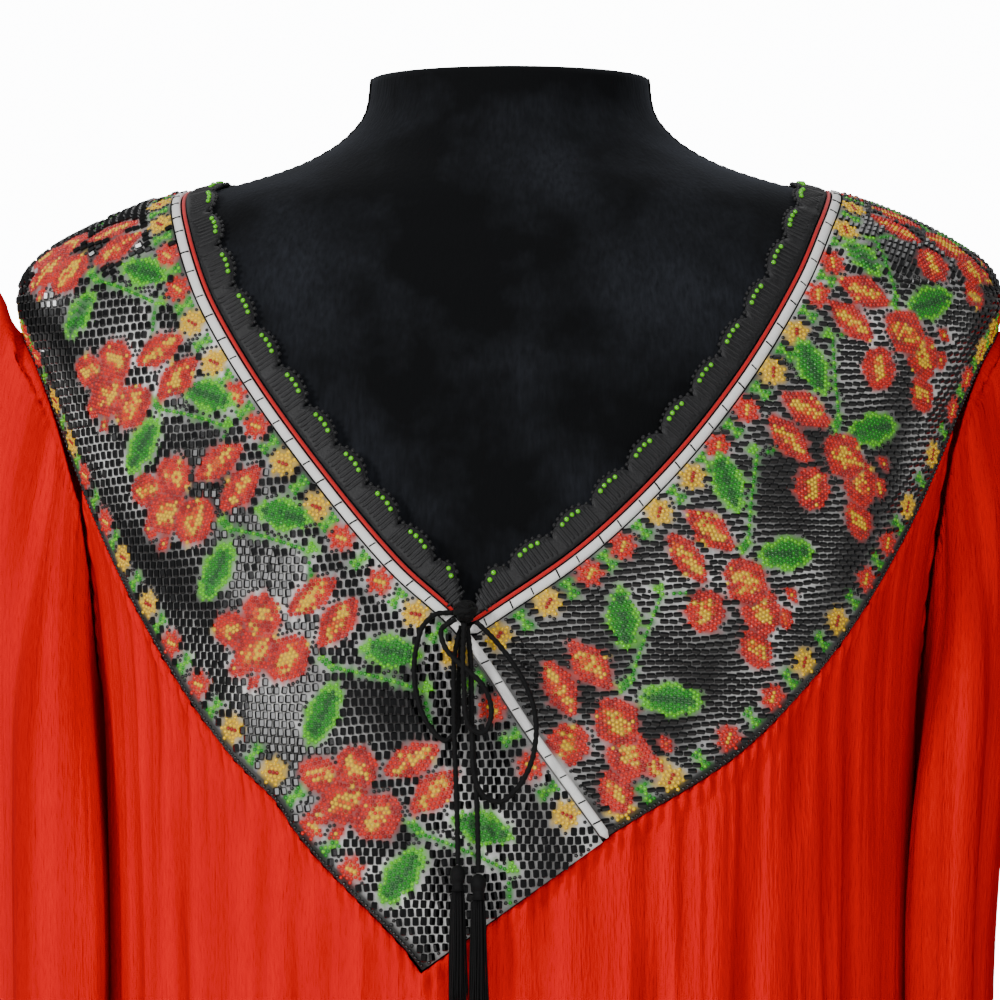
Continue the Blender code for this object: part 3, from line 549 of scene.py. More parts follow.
def armhole_ring(yoke: Yoke, hand: int, columns: int) -> Array:
    """The seam round a sleeve's head, from the underarm by the front, over the shoulder and back."""
    def seam(side: int, edge_f: float) -> Array:
        """The armhole of one panel."""
        top = panel_top(yoke, side, [edge_f if hand < 0 else 1 - edge_f])[0]
        f = np.linspace(0.004, edge_f - 0.004, 30)
        shares = f if hand < 0 else 1 - f
        return round_the_half(shares, armhole_height(f, edge_f, top), side, SLEEVE_SEAM_LIFT)

    front, back = seam(FRONT, FRONT_ARMHOLE), seam(BACK, BACK_ARMHOLE)[::-1]
    s = np.linspace(0, yoke.centre, 900) if hand < 0 else np.linspace(yoke.length, yoke.centre, 900)
    s = s[abs(s - (yoke.centre if hand > 0 else 0)) > 60 * MM]
    edge = yoke.point(s, yoke.width(s) + SEAM_GAP)
    start = np.linalg.norm(edge - front[-1], axis=1).argmin()
    stop = np.linalg.norm(edge - back[0], axis=1).argmin()
    span = np.linspace(0, 1, 40)
    s = s[start] + (s[stop] - s[start]) * (0.06 + 0.88 * span)
    lift = PANEL_LIFT + 0.2 * MM + 1.8 * MM * abs(2 * span - 1) ** 4
    over = yoke.point(s, yoke.width(s) + 2 * SEAM_GAP, lift)
    return even_ring(np.concatenate([front, over, back]), columns)


def tube_ring(hand: int, heights: Array, columns: int, gap: float) -> Array:
    """The sleeve's bent oval section, whose points lie at their own heights."""
    table = np.array(SLEEVE_TUBE)[::-1] * MM
    heights = np.minimum(heights, table[-1, 0])
    turn = np.linspace(0, 2 * math.pi, columns, endpoint=False)
    left, right, depth = np.moveaxis(curve_through(table[:, 0], table[:, 1:], heights), -1, 0)
    thick = left if hand < 0 else right
    y = -depth * np.sin(turn)
    width, body_depth, roundness = section(heights, y)
    beside = width * (1 - (abs(y) / body_depth) ** roundness) ** (1 / roundness)
    bulge = np.sign(np.cos(turn)) * abs(np.cos(turn)) ** 0.8
    inner = SLEEVE_SIDE_GAP + thick * (1 - bulge)
    near = (SLEEVE_SIDE_GAP - gap) * np.clip((1 + bulge) / 2, 0, 1)
    return np.stack([hand * (beside + inner - near), y], -1)


def cord_depth(across: Array, height: Array, layer: float) -> Array:
    """How far forward a cord's centre hangs at a place, clear of the lapped bands."""
    front = face_point(np.asarray(across), np.asarray(height), np.full(np.shape(across), FRONT))[..., 1]
    return front - (BAND_LIFT + LAP_LIFT) * 1.08 - 0.3 * MM - CORD_RADIUS - layer * CORD_LAYER


def knot_centre() -> Array:
    """The middle of the knot, midway through the cords' layers."""
    across, height = (value * MM for value in KNOT_AT)
    return np.array([across, float(cord_depth(across, height, 1.5)), height])


def knot_exit(toward: Sequence[float], layer: int) -> Array:
    """The point just off the knot where a cord of a layer leaves it towards a place."""
    centre = knot_centre()
    deep = (1.5 - layer) * CORD_LAYER
    shrink = math.sqrt(1 - (deep / KNOT[1]) ** 2)
    way = unit(np.array([toward[0] * MM - centre[0], toward[1] * MM - centre[2]]))
    reach = shrink / math.hypot(way[0] / KNOT[0], way[1] / KNOT[2]) + 0.9 * MM
    return np.array([centre[0] + way[0] * reach, centre[1] + deep, centre[2] + way[1] * reach])


def cord_route(name: str) -> Array:
    """A cord's smooth centre line, a point every 2 to 3 diameters."""
    layer, seen = TIE_ROUTES[name]
    middle = np.array([(x * MM, cord_depth(x * MM, z * MM, layer), z * MM) for x, z in seen])
    ends = [knot_exit(seen[0], layer)[None], middle]
    if "loop" in name:
        ends.append(knot_exit(seen[-1], layer)[None])
    route = np.concatenate(ends)
    run = arc_lengths(route)
    count = max(8, round(run[-1] / (5.8 * CORD_RADIUS)))
    return curve_through(run, route, np.linspace(0, run[-1], count))


def packed_shift() -> Array:
    """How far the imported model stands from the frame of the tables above."""
    low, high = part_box("dress_form")
    return np.array([(low[0] + high[0]) / 2, low[1] - FORM_FRONT, 0.0])


SHIFT = packed_shift()


def linear(colour: Sequence[float]) -> tuple[float, float, float]:
    """A colour seen in the photo, 0 to 255, as linear light."""
    share = np.array(colour, float) / 255
    light = np.where(share <= 0.04045, share / 12.92, ((share + 0.055) / 1.055) ** 2.4)
    return tuple(float(value) for value in light)


class Shader:
    """Adds nodes to a tree in a line each."""

    def __init__(self, tree: bpy.types.NodeTree) -> None:
        """Keeps the tree."""
        self.tree = tree

    def add(self, kind: str, sockets: dict | None = None, **settings: object) -> bpy.types.Node:
        """Adds a node.

        Args:
            kind: the node's type, without its prefix.
            sockets: values or outputs for its inputs, by name or index.
            settings: the node's own properties.

        Returns:
            The node.
        """
        prefix = "" if kind.startswith(("Geometry", "Function", "Node", "Shader")) else "ShaderNode"
        node = self.tree.nodes.new(prefix + kind)
        for key, value in settings.items():
            setattr(node, key, value)
        self.feed(node, sockets or {})
        return node

    def feed(self, node: bpy.types.Node, sockets: dict) -> None:
        """Gives a node's inputs their values or links them to outputs."""
        for key, value in sockets.items():
            if isinstance(value, bpy.types.NodeSocket):
                self.tree.links.new(value, node.inputs[key])
            else:
                node.inputs[key].default_value = value

    def bump(self, height: bpy.types.NodeSocket, distance: float, strength: float,
             **under: bpy.types.NodeSocket) -> bpy.types.NodeSocket:
        """A bumped normal, over another one where it is given as Normal."""
        return self.add("Bump", {
            "Height": height, "Distance": distance, "Strength": strength, **under,
        }).outputs["Normal"]

    def fibres(self, scale: float, detail: float, distance: float) -> bpy.types.NodeSocket:
        """The normal of fine fibres or threads on a piece."""
        place = self.add("TexCoord").outputs["Object"]
        noise = self.add("TexNoise", {"Vector": place, "Scale": scale, "Detail": detail})
        return self.bump(noise.outputs["Fac"], distance, 0.8)


def patches_group() -> bpy.types.NodeTree:
    """Soft uneven patches, as a factor about 1, shared by the finishes.

    Returns:
        The group, with inputs Vector, Scale and Amount and output Factor.
    """
    tree = bpy.data.node_groups.get("soft_patches")
    if tree is not None:
        return tree
    tree = bpy.data.node_groups.new("soft_patches", "ShaderNodeTree")
    tree.interface.new_socket("Vector", in_out="INPUT", socket_type="NodeSocketVector")
    for name, value in (("Scale", 60.0), ("Amount", 0.2)):
        tree.interface.new_socket(name, in_out="INPUT", socket_type="NodeSocketFloat").default_value = value
    tree.interface.new_socket("Factor", in_out="OUTPUT", socket_type="NodeSocketFloat")
    shader = Shader(tree)
    inputs = shader.add("NodeGroupInput")
    outputs = shader.add("NodeGroupOutput")
    noise = shader.add("TexNoise", {
        "Vector": inputs.outputs["Vector"], "Scale": inputs.outputs["Scale"], "Detail": 3.0,
    })
    low = shader.add("Math", {0: 1.0, 1: inputs.outputs["Amount"]}, operation="SUBTRACT")
    high = shader.add("Math", {0: 1.0, 1: inputs.outputs["Amount"]}, operation="ADD")
    ranged = shader.add("MapRange", {
        "Value": noise.outputs["Fac"], "From Min": 0.3, "From Max": 0.7,
        "To Min": low.outputs[0], "To Max": high.outputs[0],
    })
    tree.links.new(ranged.outputs["Result"], outputs.inputs["Factor"])
    return tree


@dataclass(frozen=True)
class Finish:
    """A plain finish with soft patches, from which the others are made."""

    name: str
    colour: tuple[float, float, float]
    roughness: float = 0.8
    patch_scale: float = 60.0
    patch_amount: float = 0.15

    def build(self) -> bpy.types.Material:
        """Makes the material once and returns it."""
        material = bpy.data.materials.get(self.name)
        if material is None:
            material = bpy.data.materials.new(self.name)
            material.use_nodes = True
            material.diffuse_color = (*linear(self.colour), 1.0)
            shader = Shader(material.node_tree)
            principled = material.node_tree.nodes["Principled BSDF"]
            principled.inputs["Roughness"].default_value = self.roughness
            self.dress(shader, principled)
        return material

    def patched(self, shader: Shader, base: object) -> bpy.types.NodeSocket:
        """A colour made uneven by the shared patches."""
        group = shader.add("Group", {
            "Vector": shader.add("TexCoord").outputs["Object"],
            "Scale": self.patch_scale, "Amount": self.patch_amount,
        }, node_tree=patches_group())
        scaled = shader.add("VectorMath", {0: base, "Scale": group.outputs["Factor"]}, operation="SCALE")
        return scaled.outputs[0]

    def dress(self, shader: Shader, principled: bpy.types.Node) -> None:
        """Links the colour."""
        shader.feed(principled, {"Base Color": self.patched(shader, linear(self.colour))})


@dataclass(frozen=True)
class YarnFinish(Finish):
    """Cotton yarn: fine fibres in bump and a little sheen."""

    fibre_scale: float = 1400.0
    fibre_height: float = 0.00025
    sheen: float = 0.25
    specular: float = 0.4

    def dress(self, shader: Shader, principled: bpy.types.Node) -> None:
        """Links colour and fibre bump."""
        super().dress(shader, principled)
        shader.feed(principled, {
            "Normal": shader.fibres(self.fibre_scale, 4.0, self.fibre_height),
            "Sheen Weight": self.sheen, "Sheen Roughness": 0.5, "Specular IOR Level": self.specular,
        })


@dataclass(frozen=True)
class VelvetFinish(Finish):
    """Black pile velvet with a bluish soft sheen, fine upright streaks, and painted sheen as bluish-grey
    patches in its colour.
    """

    sheen_colour: tuple[float, float, float] = (150.0, 158.0, 176.0)
    streak_and_sheen_colour: tuple[float, float, float] = (44.0, 47.0, 54.0)
    sheen: float = 0.12

    def dress(self, shader: Shader, principled: bpy.types.Node) -> None:
        """Links streaks of pile, painted sheen as wide bluish-grey patches of them, and the shader's own
        sheen.
        """
        place = shader.add("TexCoord").outputs["Object"]
        streaks = shader.add("Mapping", {"Vector": place, "Scale": (1.0, 1.0, 0.12)})
        fine = shader.add("TexNoise", {"Vector": streaks.outputs[0], "Scale": 700.0, "Detail": 4.0})
        wide = shader.add("TexNoise", {"Vector": place, "Scale": 18.0, "Detail": 5.0, "Roughness": 0.6})
        # Painted sheen: within wide soft patches the fine pile streaks turn bluish grey in the base colour.
        sheen_patch_mask = shader.add("MapRange", {"Value": wide.outputs["Fac"], "From Min": 0.42, "From Max": 0.68})
        pile = shader.add("Math", {0: fine.outputs["Fac"], 1: sheen_patch_mask.outputs["Result"]}, operation="MULTIPLY")
        mixed = shader.add("Mix", {
            0: pile.outputs[0], 6: (*linear(self.colour), 1.0), 7: (*linear(self.streak_and_sheen_colour), 1.0),
        }, data_type="RGBA")
        shader.feed(principled, {
            "Base Color": mixed.outputs[2], "Normal": shader.bump(fine.outputs["Fac"], 0.0004, 0.7),
            "Sheen Weight": self.sheen, "Sheen Roughness": 0.45,
            "Sheen Tint": (*linear(self.sheen_colour), 1.0), "Specular IOR Level": 0.2,
        })


@dataclass(frozen=True)
class GauzeFinish(Finish):
    """Crinkled cotton gauze: long fine crinkles down the cloth, an open weave, and painted shade in its
    colour.
    """

    # Deeper red, used as painted shade where the crinkle bump is low.
    shade: tuple[float, float, float] = (234.0, 0.0, 14.0)
    crinkle: float = 0.0009
    weave: float = 0.0009
    thread: float = 0.00016

    def dress(self, shader: Shader, principled: bpy.types.Node) -> None:
        """Links crinkles and weave, which follow the cloth's own map in metres, and darkens the colour with
        painted shade where the crinkles are low and in the mesh's troughs.
        """
        cloth = shader.add("UVMap", uv_map="cloth").outputs["UV"]
        heights = []
        for scale, stretch in ((430.0, 0.09), (900.0, 0.2)):
            mapped = shader.add("Mapping", {"Vector": cloth, "Scale": (1.0, stretch, 1.0)})
            noise = shader.add("TexNoise", {
                "Vector": mapped.outputs[0], "Scale": scale, "Detail": 3.0, "Distortion": 0.15,
            })
            heights.append(noise.outputs["Fac"])
        crinkle = shader.add("Math", {0: heights[0], 1: heights[1]}, operation="ADD")
        weave = []
        for axis in ("X", "Y"):
            weave.append(shader.add("TexWave", {
                "Vector": cloth, "Scale": 1 / (self.weave * 2 * math.pi) * 1.9, "Distortion": 0.9,
                "Detail": 1.0, "Detail Scale": 3.0,
            }, wave_type="BANDS", bands_direction=axis).outputs["Fac"])
        net = shader.add("Math", {0: weave[0], 1: weave[1]}, operation="MULTIPLY")
        # Painted shade: the colour turns to the deeper red where the crinkle height, which also drives the
        # bump, is low.
        shaded = shader.add("MapRange", {"Value": crinkle.outputs[0], "From Min": 0.78, "From Max": 1.18})
        mixed = shader.add("Mix", {
            0: shaded.outputs["Result"], 6: (*linear(self.shade), 1.0), 7: (*linear(self.colour), 1.0),
        }, data_type="RGBA")
        # Painted shade in the troughs of folds and waves, carried by the mesh's tint attribute.
        troughs = shader.add("Attribute", attribute_name="tint").outputs["Color"]
        shaded = shader.add("VectorMath", {0: mixed.outputs[2], 1: troughs}, operation="MULTIPLY").outputs[0]
        low = shader.bump(crinkle.outputs[0], self.crinkle, 0.9)
        shader.feed(principled, {
            "Base Color": self.patched(shader, shaded),
            "Normal": shader.bump(net.outputs[0], self.thread, 0.6, Normal=low),
            "Specular IOR Level": 0.08,
        })


@dataclass(frozen=True)
class TintedFinish(Finish):
    """A finish whose colour is in the mesh's tint."""

    def dress(self, shader: Shader, principled: bpy.types.Node) -> None:
        """Links the tint."""
        tint = shader.add("Attribute", attribute_name="tint").outputs["Color"]
        shader.feed(principled, {"Base Color": self.patched(shader, tint)})


@dataclass(frozen=True)
class GlassFinish(TintedFinish):
    """Glass beads."""

    coat: float = 0.35

    def dress(self, shader: Shader, principled: bpy.types.Node) -> None:
        """Links the tint and lays a clear coat over it."""
        super().dress(shader, principled)
        shader.feed(principled, {"Coat Weight": self.coat, "Coat Roughness": 0.04, "IOR": 1.52})


@dataclass(frozen=True)
class GroundFinish(TintedFinish):
    """The cloth that carries the beads, with the beading thread over it."""

    def dress(self, shader: Shader, principled: bpy.types.Node) -> None:
        """Links the painted tint, which holds the thread's colours and painted shade under the coloured
        beads, and the threads' bump.
        """
        super().dress(shader, principled)
        shader.feed(principled, {"Normal": shader.fibres(1200.0, 3.0, 0.0004)})


VELVET = VelvetFinish("black_velvet", (5.0, 6.0, 8.0), 0.95)
GAUZE = GauzeFinish("red_gauze", (240.0, 0.0, 16.0), 0.9, 26.0, 0.04)
BLACK_GLASS = GlassFinish("black_glass_beads", (10.0, 10.0, 12.0), 0.16, 300.0, 0.25)
COLOUR_GLASS = GlassFinish("coloured_glass_beads", (220.0, 40.0, 20.0), 0.2, 420.0, 0.12, coat=0.6)
GROUND = GroundFinish("bead_ground", (210.0, 208.0, 204.0), 0.85, 90.0, 0.3)
WHITE_COTTON = YarnFinish("white_edge_cotton", (252.0, 252.0, 250.0), 0.85, 300.0, 0.04)
RED_COTTON = YarnFinish("red_piping_cotton", (214.0, 4.0, 12.0), 0.8, 300.0, 0.1)
BLACK_COTTON = YarnFinish("black_yarn", (12.0, 12.0, 13.0), 0.75, 300.0, 0.2, sheen=0.02, specular=0.2)
CROCHET = YarnFinish("crochet_yarn", (24.0, 24.0, 26.0), 0.55, 300.0, 0.3, sheen=0.05, specular=0.45)
FLOOR = Finish("pale_floor", (226.0, 224.0, 221.0), 0.9, 4.0, 0.01)


def add_piece(name: str, mesh: bpy.types.Mesh, finish: Finish,
              replaced: Sequence[str] = ()) -> bpy.types.Object:
    """Puts a mesh in the scene as a piece of the blouse.

    Args:
        name: the piece's name.
        mesh: its mesh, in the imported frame.
        finish: its finish.
        replaced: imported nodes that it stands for.

    Returns:
        The object.
    """
    mesh.materials.clear()
    mesh.materials.append(finish.build())
    item = bpy.data.objects.new(name, mesh)
    bpy.context.scene.collection.objects.link(item)
    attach(item, BODY)
    if replaced:
        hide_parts(*replaced)
    return item


def closed_mesh(name: str, points: Array, faces: Sequence[Sequence[int]],
                uvs: Array | None = None, tints: Array | None = None) -> bpy.types.Mesh:
    """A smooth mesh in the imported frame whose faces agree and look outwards.

    Args:
        name: the mesh's name.
        points: its vertices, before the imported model's shift.
        faces: its faces.
        uvs: a cloth map for each corner of each face, in order.
        tints: a colour for each vertex.

    Returns:
        The mesh.
    """
    mesh = bpy.data.meshes.new(name)
    mesh.from_pydata((points + SHIFT).tolist(), [], [list(map(int, face)) for face in faces])
    if uvs is not None:
        layer = mesh.uv_layers.new(name="cloth")
        layer.data.foreach_set("uv", np.asarray(uvs, np.float32).ravel())
    if tints is not None:
        paint_tints(mesh, tints)
    shape = bmesh.new()
    shape.from_mesh(mesh)
    bmesh.ops.recalc_face_normals(shape, faces=shape.faces)
    shape.to_mesh(mesh)
    shape.free()
    mesh.shade_smooth()
    return mesh


def paint_tints(mesh: bpy.types.Mesh, tints: Array) -> None:
    """Stores a colour for each vertex."""
    layer = mesh.attributes.new("tint", "FLOAT_COLOR", "POINT")
    layer.data.foreach_set("color", np.c_[tints, np.ones(len(tints))].astype(np.float32).ravel())


def grid_faces(rows: int, columns: int, closed: bool, first: int = 0) -> Array:
    """Quads of a grid of vertices, row after row."""
    r = np.arange(rows - 1)[:, None]
    c = np.arange(columns if closed else columns - 1)[None]
    nearby = (c + 1) % columns
    quads = [r * columns + c, (r + 1) * columns + c, (r + 1) * columns + nearby, r * columns + nearby]
    return first + np.stack(np.broadcast_arrays(*quads), -1).reshape(-1, 4)


def grid_uvs(across: Array, down: Array, closed: bool, around: float) -> Array:
    """Cloth map of a grid's quads, corner by corner, whole over the seam of a closed grid."""
    rows = len(across)
    u = np.c_[across, np.full(rows, around)] if closed else across
    v = np.c_[down, down[:, 0]] if closed else down
    quads = grid_faces(rows, u.shape[1], False)
    return np.stack([u.ravel()[quads], v.ravel()[quads]], -1)


def shell_mesh(name: str, outer: Array, thickness: float, closed: bool,
               tints: Array | None = None) -> bpy.types.Mesh:
    """A thin closed shell of cloth: an outer face, a face behind it, and the edges between.

    Args:
        name: the mesh's name.
        outer: grid of points of the outer face, rows down and columns across.
        thickness: how far the other face lies behind it; its sign follows the grid's normals.
        closed: whether the columns close into a tube.
        tints: a colour for each point of the grid.

    Returns:
        The mesh, with its cloth map in metres.
    """
    rows, columns = outer.shape[:2]
    inner = displace(outer, np.full(outer.shape[:2], -thickness), closed)
    steps = np.linalg.norm(np.diff(outer, axis=1), axis=-1)
    middle = np.median(steps, axis=0)
    across = np.broadcast_to(np.r_[0, np.cumsum(middle)], (rows, columns))
    fall = np.linalg.norm(np.diff(outer, axis=0), axis=-1)
    down = np.concatenate([np.zeros((1, columns)), np.cumsum(fall, axis=0)])
    around = float(across[0, -1] + np.median(middle))
    faces = grid_faces(rows, columns, closed)
    uvs = grid_uvs(across, down, closed, around)
    count = rows * columns
    rims, rim_uvs = [], []
    edges = [np.arange(columns), (rows - 1) * columns + np.arange(columns)]
    if closed:
        edges = [np.r_[edge, edge[0]] for edge in edges]
    else:
        edges += [np.arange(rows) * columns, np.arange(rows) * columns + columns - 1]
    flat = np.stack([across.ravel(), down.ravel()], -1)
    for edge in edges:
        for a, b in zip(edge, edge[1:]):
            rims.append((a, b, b + count, a + count))
            rim_uvs.append(flat[[a, b, b, a]])
    points = np.concatenate([outer.reshape(-1, 3), inner.reshape(-1, 3)])
    everything = np.concatenate([faces, faces[:, ::-1] + count, np.array(rims)])
    every_uv = np.concatenate([uvs, uvs[:, ::-1], np.array(rim_uvs)])
    both = None if tints is None else np.concatenate([tints, tints])
    return closed_mesh(name, points, everything, every_uv, both)


def tube_points(line: Array, up: Array, profile: Callable[[Array, Array], Array],
                sides: int) -> tuple[Array, list]:
    """A closed tube along a line.

    Args:
        line: centre points.
        up: a direction across the line at each point.
        profile: radius pairs (across, along up) for the angle and the run.
        sides: points round it.

    Returns:
        Its points and faces, with closed ends.
    """
    along = unit(np.gradient(line, axis=0))
    up = unit(up - (up * along).sum(-1, keepdims=True) * along)
    side = np.cross(along, up)
    run = arc_lengths(line)
    turn = np.linspace(0, 2 * math.pi, sides, endpoint=False)
    radius = profile(turn[None], run[:, None])
    rings = (
        line[:, None]
        + side[:, None] * (radius[0] * np.cos(turn))[..., None]
        + up[:, None] * (radius[1] * np.sin(turn))[..., None]
    )
    points = rings.reshape(-1, 3)
    faces = [tuple(face) for face in grid_faces(len(line), sides, True)]
    for ring, centre in ((0, len(points)), (len(line) - 1, len(points) + 1)):
        for k in range(sides):
            faces.append((ring * sides + k, ring * sides + (k + 1) % sides, centre))
    return np.concatenate([points, line[:1], line[-1:]]), faces


def round_profile(across: float, up: float) -> Callable[[Array, Array], Array]:
    """An oval tube profile, drawn in at its ends."""
    def profile(turn: Array, run: Array) -> Array:
        """Radii for each angle and run."""
        end = np.minimum(run, run.max() - run) / max(across, up)
        drawn = np.sqrt(1 - (1 - np.clip(end, 0.05, 1)) ** 2) + 0.0 * turn
        return np.stack([across * drawn, up * drawn])
    return profile


def join_meshes(name: str, parts: Sequence[tuple[Array, list]]) -> bpy.types.Mesh:
    """One mesh of several shapes."""
    points, faces, count = [], [], 0
    for some, theirs in parts:
        points.append(some)
        faces.extend(tuple(index + count for index in face) for face in theirs)
        count += len(some)
    return closed_mesh(name, np.concatenate(points), faces)


class Small(Enum):
    """Small shapes that repeat."""

    ROUND = "round"
    CUT = "cut"


@dataclass
class Places:
    """Where small things go: points, the direction of each one's axis, its outward face and colour."""

    points: list = field(default_factory=list)
    axes: list = field(default_factory=list)
    faces: list = field(default_factory=list)
    tints: list = field(default_factory=list)

    def add(self, point: Array, axis: Array, face: Array, tint: Sequence[float]) -> None:
        """Adds one place."""
        self.points.append(point)
        self.axes.append(axis)
        self.faces.append(face)
        self.tints.append(tint)

    def turns(self) -> Array:
        """Angles that turn a small shape's Z along the axis and its X outwards."""
        z = unit(np.array(self.axes))
        x = np.array(self.faces)
        x = unit(x - (x * z).sum(-1, keepdims=True) * z)
        y = np.cross(z, x)
        return np.stack([
            np.arctan2(y[:, 2], z[:, 2]),
            -np.arcsin(np.clip(x[:, 2], -1, 1)),
            np.arctan2(x[:, 1], x[:, 0]),
        ], -1)


@dataclass(frozen=True)
class Scatter:
    """A Geometry Nodes tree that sets one small shape on every place of a mesh of points."""

    name: str
    shape: Small
    radius: float
    length: float
    sides: int = 6
    rings: int = 3
    taper: float = 0.72
    smooth: bool = False
    spread: float = 0.05
    seed: int = 7

    def tree(self) -> tuple[bpy.types.NodeTree, dict[str, str]]:
        """Builds the tree.

        Returns:
            The tree and the identifiers of its inputs by name.
        """
        tree = bpy.data.node_groups.new(self.name, "GeometryNodeTree")
        kinds = {
            "Geometry": "Geometry", "Radius": "Float", "Length": "Float", "Taper": "Float",
            "Spread": "Float", "Seed": "Int", "Material": "Material",
        }
        for name, kind in kinds.items():
            tree.interface.new_socket(name, in_out="INPUT", socket_type="NodeSocket" + kind)
        tree.interface.new_socket("Geometry", in_out="OUTPUT", socket_type="NodeSocketGeometry")
        nodes = Shader(tree)
        inputs = nodes.add("NodeGroupInput").outputs
        make = self.round_shape if self.shape is Small.ROUND else self.cut_shape
        shape = make(nodes, inputs)
        turn = nodes.add("GeometryNodeInputNamedAttribute", {"Name": "turn"}, data_type="FLOAT_VECTOR")
        rotation = nodes.add("FunctionNodeEulerToRotation", {
            0: next(socket for socket in turn.outputs if socket.enabled),
        })
        low = nodes.add("Math", {0: 1.0, 1: inputs["Spread"]}, operation="SUBTRACT")
        high = nodes.add("Math", {0: 1.0, 1: inputs["Spread"]}, operation="ADD")
        chance = nodes.add("FunctionNodeRandomValue", data_type="FLOAT")
        live = {socket.name: socket for socket in chance.inputs if socket.enabled}
        for name, source in (("Min", low.outputs[0]), ("Max", high.outputs[0]), ("Seed", inputs["Seed"])):
            tree.links.new(source, live[name])
        size = next(socket for socket in chance.outputs if socket.enabled)
        placed = nodes.add("GeometryNodeInstanceOnPoints", {
            "Points": inputs["Geometry"], "Instance": shape, "Rotation": rotation.outputs[0], "Scale": size,
        })
        real = nodes.add("GeometryNodeRealizeInstances", {"Geometry": placed.outputs[0]})
        dressed = nodes.add("GeometryNodeSetMaterial", {
            "Geometry": real.outputs[0], "Material": inputs["Material"],
        })
        output = nodes.add("NodeGroupOutput")
        tree.links.new(dressed.outputs[0], output.inputs["Geometry"])
        names = {
            item.name: item.identifier for item in tree.interface.items_tree if item.in_out == "INPUT"
        }
        return tree, names

    def round_shape(self, nodes: Shader, inputs: bpy.types.NodeOutputs) -> bpy.types.NodeSocket:
        """A round bead, flattened along its axis to its length."""
        ball = nodes.add("GeometryNodeMeshUVSphere", {
            "Segments": self.sides, "Rings": self.rings, "Radius": inputs["Radius"],
        })
        ratio = nodes.add("Math", {0: inputs["Length"], 1: inputs["Radius"]}, operation="DIVIDE")
        half = nodes.add("Math", {0: ratio.outputs[0], 1: 0.5}, operation="MULTIPLY")
        scale = nodes.add("CombineXYZ", {0: 1.0, 1: 1.0, 2: half.outputs[0]})
        flat = nodes.add("GeometryNodeTransform", {"Geometry": ball.outputs[0], "Scale": scale.outputs[0]})
        smooth = nodes.add("GeometryNodeSetShadeSmooth", {"Geometry": flat.outputs[0], "Shade Smooth": True})
        return smooth.outputs[0]

    def cut_shape(self, nodes: Shader, inputs: bpy.types.NodeOutputs) -> bpy.types.NodeSocket:
        """A many-sided rod with tapered ends: a cut bead or a stitch."""
        rod = nodes.add("GeometryNodeMeshCylinder", {
            "Vertices": self.sides, "Side Segments": 3, "Radius": inputs["Radius"], "Depth": inputs["Length"],
        }, fill_type="NGON")
        place = nodes.add("GeometryNodeInputPosition")
        split = nodes.add("SeparateXYZ", {0: place.outputs[0]})
        share = nodes.add("Math", {0: split.outputs[2], 1: inputs["Length"]}, operation="DIVIDE")
        away = nodes.add("Math", {0: share.outputs[0]}, operation="ABSOLUTE")
        end = nodes.add("Math", {0: away.outputs[0], 1: 0.4}, operation="GREATER_THAN")
        drawn = nodes.add("Mix", {0: end.outputs[0], 2: 1.0, 3: inputs["Taper"]}, data_type="FLOAT")
        stretched = nodes.add("Mix", {0: end.outputs[0], 2: 2.2, 3: 1.0}, data_type="FLOAT")
        scale = nodes.add("CombineXYZ", {0: drawn.outputs[0], 1: drawn.outputs[0], 2: stretched.outputs[0]})
        moved = nodes.add("VectorMath", {0: place.outputs[0], 1: scale.outputs[0]}, operation="MULTIPLY")
        formed = nodes.add("GeometryNodeSetPosition", {
            "Geometry": rod.outputs["Mesh"], "Position": moved.outputs[0],
        })
        smooth = nodes.add("GeometryNodeSetShadeSmooth", {
            "Geometry": formed.outputs[0], "Shade Smooth": self.smooth,
        })
        return smooth.outputs[0]

    def mesh(self, places: Places, finish: Finish) -> bpy.types.Mesh:
        """Sets the shape on every place.

        Args:
            places: where they go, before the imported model's shift.
            finish: their finish.

        Returns:
            One plain mesh.
        """
        cloud = bpy.data.meshes.new(self.name + "_points")
        cloud.from_pydata((np.array(places.points) + SHIFT).tolist(), [], [])
        layer = cloud.attributes.new("turn", "FLOAT_VECTOR", "POINT")
        layer.data.foreach_set("vector", places.turns().astype(np.float32).ravel())
        paint_tints(cloud, np.array(places.tints))
        carrier = bpy.data.objects.new(self.name + "_carrier", cloud)
        bpy.context.scene.collection.objects.link(carrier)
        modifier = carrier.modifiers.new(self.name, "NODES")
        tree, names = self.tree()
        modifier.node_group = tree
        values = {
            "Radius": self.radius, "Length": self.length, "Taper": self.taper, "Spread": self.spread,
            "Seed": self.seed, "Material": finish.build(),
        }
        for name, value in values.items():
            modifier[names[name]] = value
        carrier.update_tag()
        depsgraph = bpy.context.evaluated_depsgraph_get()
        mesh = bpy.data.meshes.new_from_object(carrier.evaluated_get(depsgraph), depsgraph=depsgraph)
        mesh.name = self.name
        bpy.data.objects.remove(carrier)
        bpy.data.node_groups.remove(tree)
        return mesh


